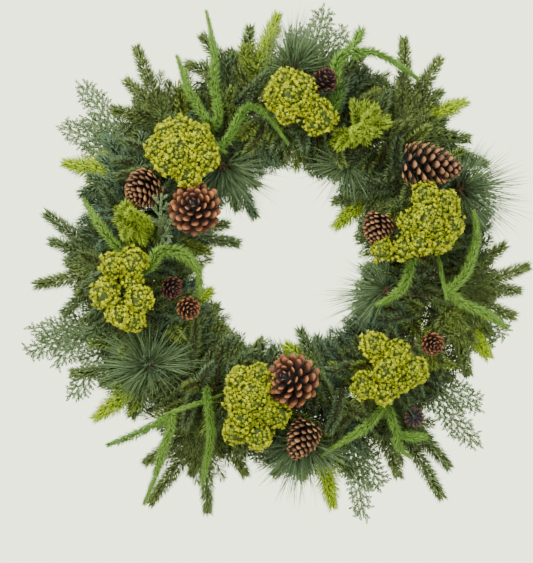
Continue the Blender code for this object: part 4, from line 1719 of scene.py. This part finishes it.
@dataclass
class Studio:
    """The pale floor, the soft lights and the camera straight in front."""

    distance: float = 3.2
    frame_height: float = 0.664
    mid_depth: float = 0.045
    aim_right: float = -0.0218
    aim_up: float = -0.0265
    floor_drop: float = 0.62
    backdrop: Colour = linear(232, 243, 206)
    ambient: float = 1.38
    seen_strength: float = 3.7

    def build(self) -> None:
        """Builds the whole studio."""
        self._floor()
        self._world()
        self._lamp("key", Vector((-0.8, -1.5, 1.2)), 0.9, 40.0, (1.0, 0.98, 0.9))
        self._lamp("fill", Vector((1.4, -1.5, 0.1)), 1.5, 10.0, (0.92, 0.96, 1.0))
        self._lamp("back", Vector((0.2, 1.5, 0.9)), 1.4, 12.0, (1.0, 1.0, 1.0))
        self._camera()

    def _floor(self) -> None:
        """A pale round floor under the wreath."""
        mesh = bpy.data.meshes.new("floor")
        shape = bmesh.new()
        place = Matrix.Translation(RING_CENTRE - Vector((0, 0, self.floor_drop)))
        bmesh.ops.create_circle(shape, cap_ends=True, segments=96, radius=0.7, matrix=place)
        shape.to_mesh(mesh)
        shape.free()
        material, nodes, shader = new_material("pale_floor")
        colour = nodes.mixed(nodes.noise(6.0), linear(226, 224, 218), linear(236, 235, 231))
        nodes.tree.links.new(colour.socket, shader.inputs["Base Color"])
        shader.inputs["Roughness"].default_value = 0.8
        mesh.materials.append(material)
        floor = bpy.data.objects.new("floor", mesh)
        bpy.context.scene.collection.objects.link(floor)

    def _world(self) -> None:
        """Even pale surroundings."""
        world = bpy.data.worlds.new("studio")
        world.use_nodes = True
        nodes = Nodes(world.node_tree)
        colour = (*self.backdrop, 1.0)
        glow = {"Color": (*AMBIENT_COLOUR, 1.0), "Strength": self.ambient}
        soft = nodes.add("ShaderNodeBackground", {}, glow)
        seen = nodes.add("ShaderNodeBackground", {}, {"Color": colour, "Strength": self.seen_strength})
        camera = nodes.add("ShaderNodeLightPath", {}, {}, "Is Camera Ray")
        mixed = nodes.add("ShaderNodeMixShader", {}, {0: camera, 1: soft, 2: seen})
        world.node_tree.links.new(mixed.socket, world.node_tree.nodes["World Output"].inputs[0])
        bpy.context.scene.world = world

    @staticmethod
    def _lamp(name: str, place: Vector, size: float, power: float, colour: Colour) -> None:
        """A soft square lamp that faces the wreath."""
        light = bpy.data.lights.new(name, "AREA")
        light.shape = "SQUARE"
        light.size = size
        light.energy = power
        light.color = colour
        lamp = bpy.data.objects.new(name, light)
        lamp.location = RING_CENTRE + place
        lamp.rotation_euler = (-place).to_track_quat("-Z", "Y").to_euler()
        bpy.context.scene.collection.objects.link(lamp)

    def _camera(self) -> None:
        """A camera square to the wreath's front."""
        data = bpy.data.cameras.new("camera")
        data.lens = data.sensor_width * self.distance / self.frame_height
        camera = bpy.data.objects.new("camera", data)
        camera.location = RING_CENTRE + Vector((self.aim_right, -self.distance - self.mid_depth, self.aim_up))
        camera.rotation_euler = (math.radians(90), 0.0, 0.0)
        bpy.context.scene.collection.objects.link(camera)
        bpy.context.scene.camera = camera


# --------------------------------------------------------------------------- the wreath


SMALL_CONE_SCALES, BIG_CONE_SCALES = 46, 92
SMALL_OPEN_SCALES, BIG_OPEN_SCALES = 40, 62


def plants() -> list[Any]:
    """Every plant of the wreath, in the order in which it is built."""
    sectors = {
        1: (307, 329), 2: (329, 363), 3: (3, 25), 4: (25, 76), 5: (76, 132), 6: (132, 157), 7: (157, 186),
        8: (186, 219), 9: (219, 249), 10: (249, 284), 11: (284, 307),
    }
    cool = {1: 0.15, 2: 0.3, 3: 0.45, 4: 0.25, 5: 0.2, 6: 0.3, 7: 0.5, 8: 0.15, 9: 0.3, 10: 0.35, 11: 0.8}
    fresh = {2: (4,), 4: (3,), 5: (5,), 7: (1,), 9: (1,), 11: (1,)}
    made: list[Any] = []
    for number, coolness in cool.items():
        node = f"fir_spray_{number:02d}"
        young = fresh.get(number, ())
        made.append(FirSpray(node, 100 + number, cool=coolness, fresh=young, sector=sectors[number]))
    inner_cool = {1: 0.4, 2: 0.6, 3: 0.3, 4: 0.7, 5: 0.4, 6: 0.5}
    inner_sectors = {
        1: (260, 309), 2: (309, 352), 3: (187, 228), 4: (110, 187), 5: (-8, 110), 6: (228, 260),
    }
    inner_fresh = {4: (3,), 5: (1,), 6: (1,)}
    for number, coolness in inner_cool.items():
        node = f"inner_fir_{number:02d}"
        young = inner_fresh.get(number, ())
        sector = inner_sectors[number]
        made.append(FirSpray(node, 140 + number, cool=coolness, fresh=young, sector=sector, inward=True))
    made.extend(LimeTip(f"lime_tip_{number:02d}", 160 + number) for number in (1, 2))
    made.extend(PineTuft(f"pine_tuft_{number:02d}", 200 + number) for number in range(1, 8))
    made.extend(CedarFrond(f"cedar_frond_{number:02d}", 240 + number) for number in range(1, 7))
    made.append(CedarFrond("cedar_frond_07", 247, pitch=8.5 * MM, branch=19.5 * MM))
    fullness = {3: 1.5, 4: 1.5, 5: 1.2}
    for number in range(1, 8):
        made.append(Foxtail(f"foxtail_{number:02d}", 280 + number, fullness=fullness.get(number, 1.1)))
    made.extend(FlowerHead(f"flower_head_{number:02d}", 320 + number) for number in range(1, 7))
    finishes = {
        **dict.fromkeys((2, 7, 8, 10), RED_CONE_FINISH),
        **dict.fromkeys((3, 6, 11), DARK_CONE_FINISH),
    }
    open_cones = {2, 8, 11}
    small = {3, 6, 7, 10, 11}
    for number in range(1, 12):
        node, seed = f"pine_cone_{number:02d}", 360 + number
        scales = SMALL_CONE_SCALES if number in small else BIG_CONE_SCALES
        finish = finishes.get(number, CONE_FINISH)
        cone = PineCone(node, seed, scales, math.radians(86), math.radians(30), 0.54, finish=finish)
        if number in open_cones:
            cone.scales = SMALL_OPEN_SCALES if number in small else BIG_OPEN_SCALES
            cone.lean_base, cone.lean_tip = math.radians(104), math.radians(40)
            cone.plump, cone.disorder = 0.5, 0.16
        made.append(cone)
    return made


def main() -> None:
    """Builds the wreath's looks piece by piece."""
    logging.basicConfig(level=logging.INFO, format="%(name)s: %(message)s")
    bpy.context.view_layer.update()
    workshop = Workshop()
    workshop.stock()
    WireWork().build(workshop)
    for plant in plants():
        plant.build(workshop)
    workshop.clear()
    Studio().build()


if __name__ == "__main__":
    main()
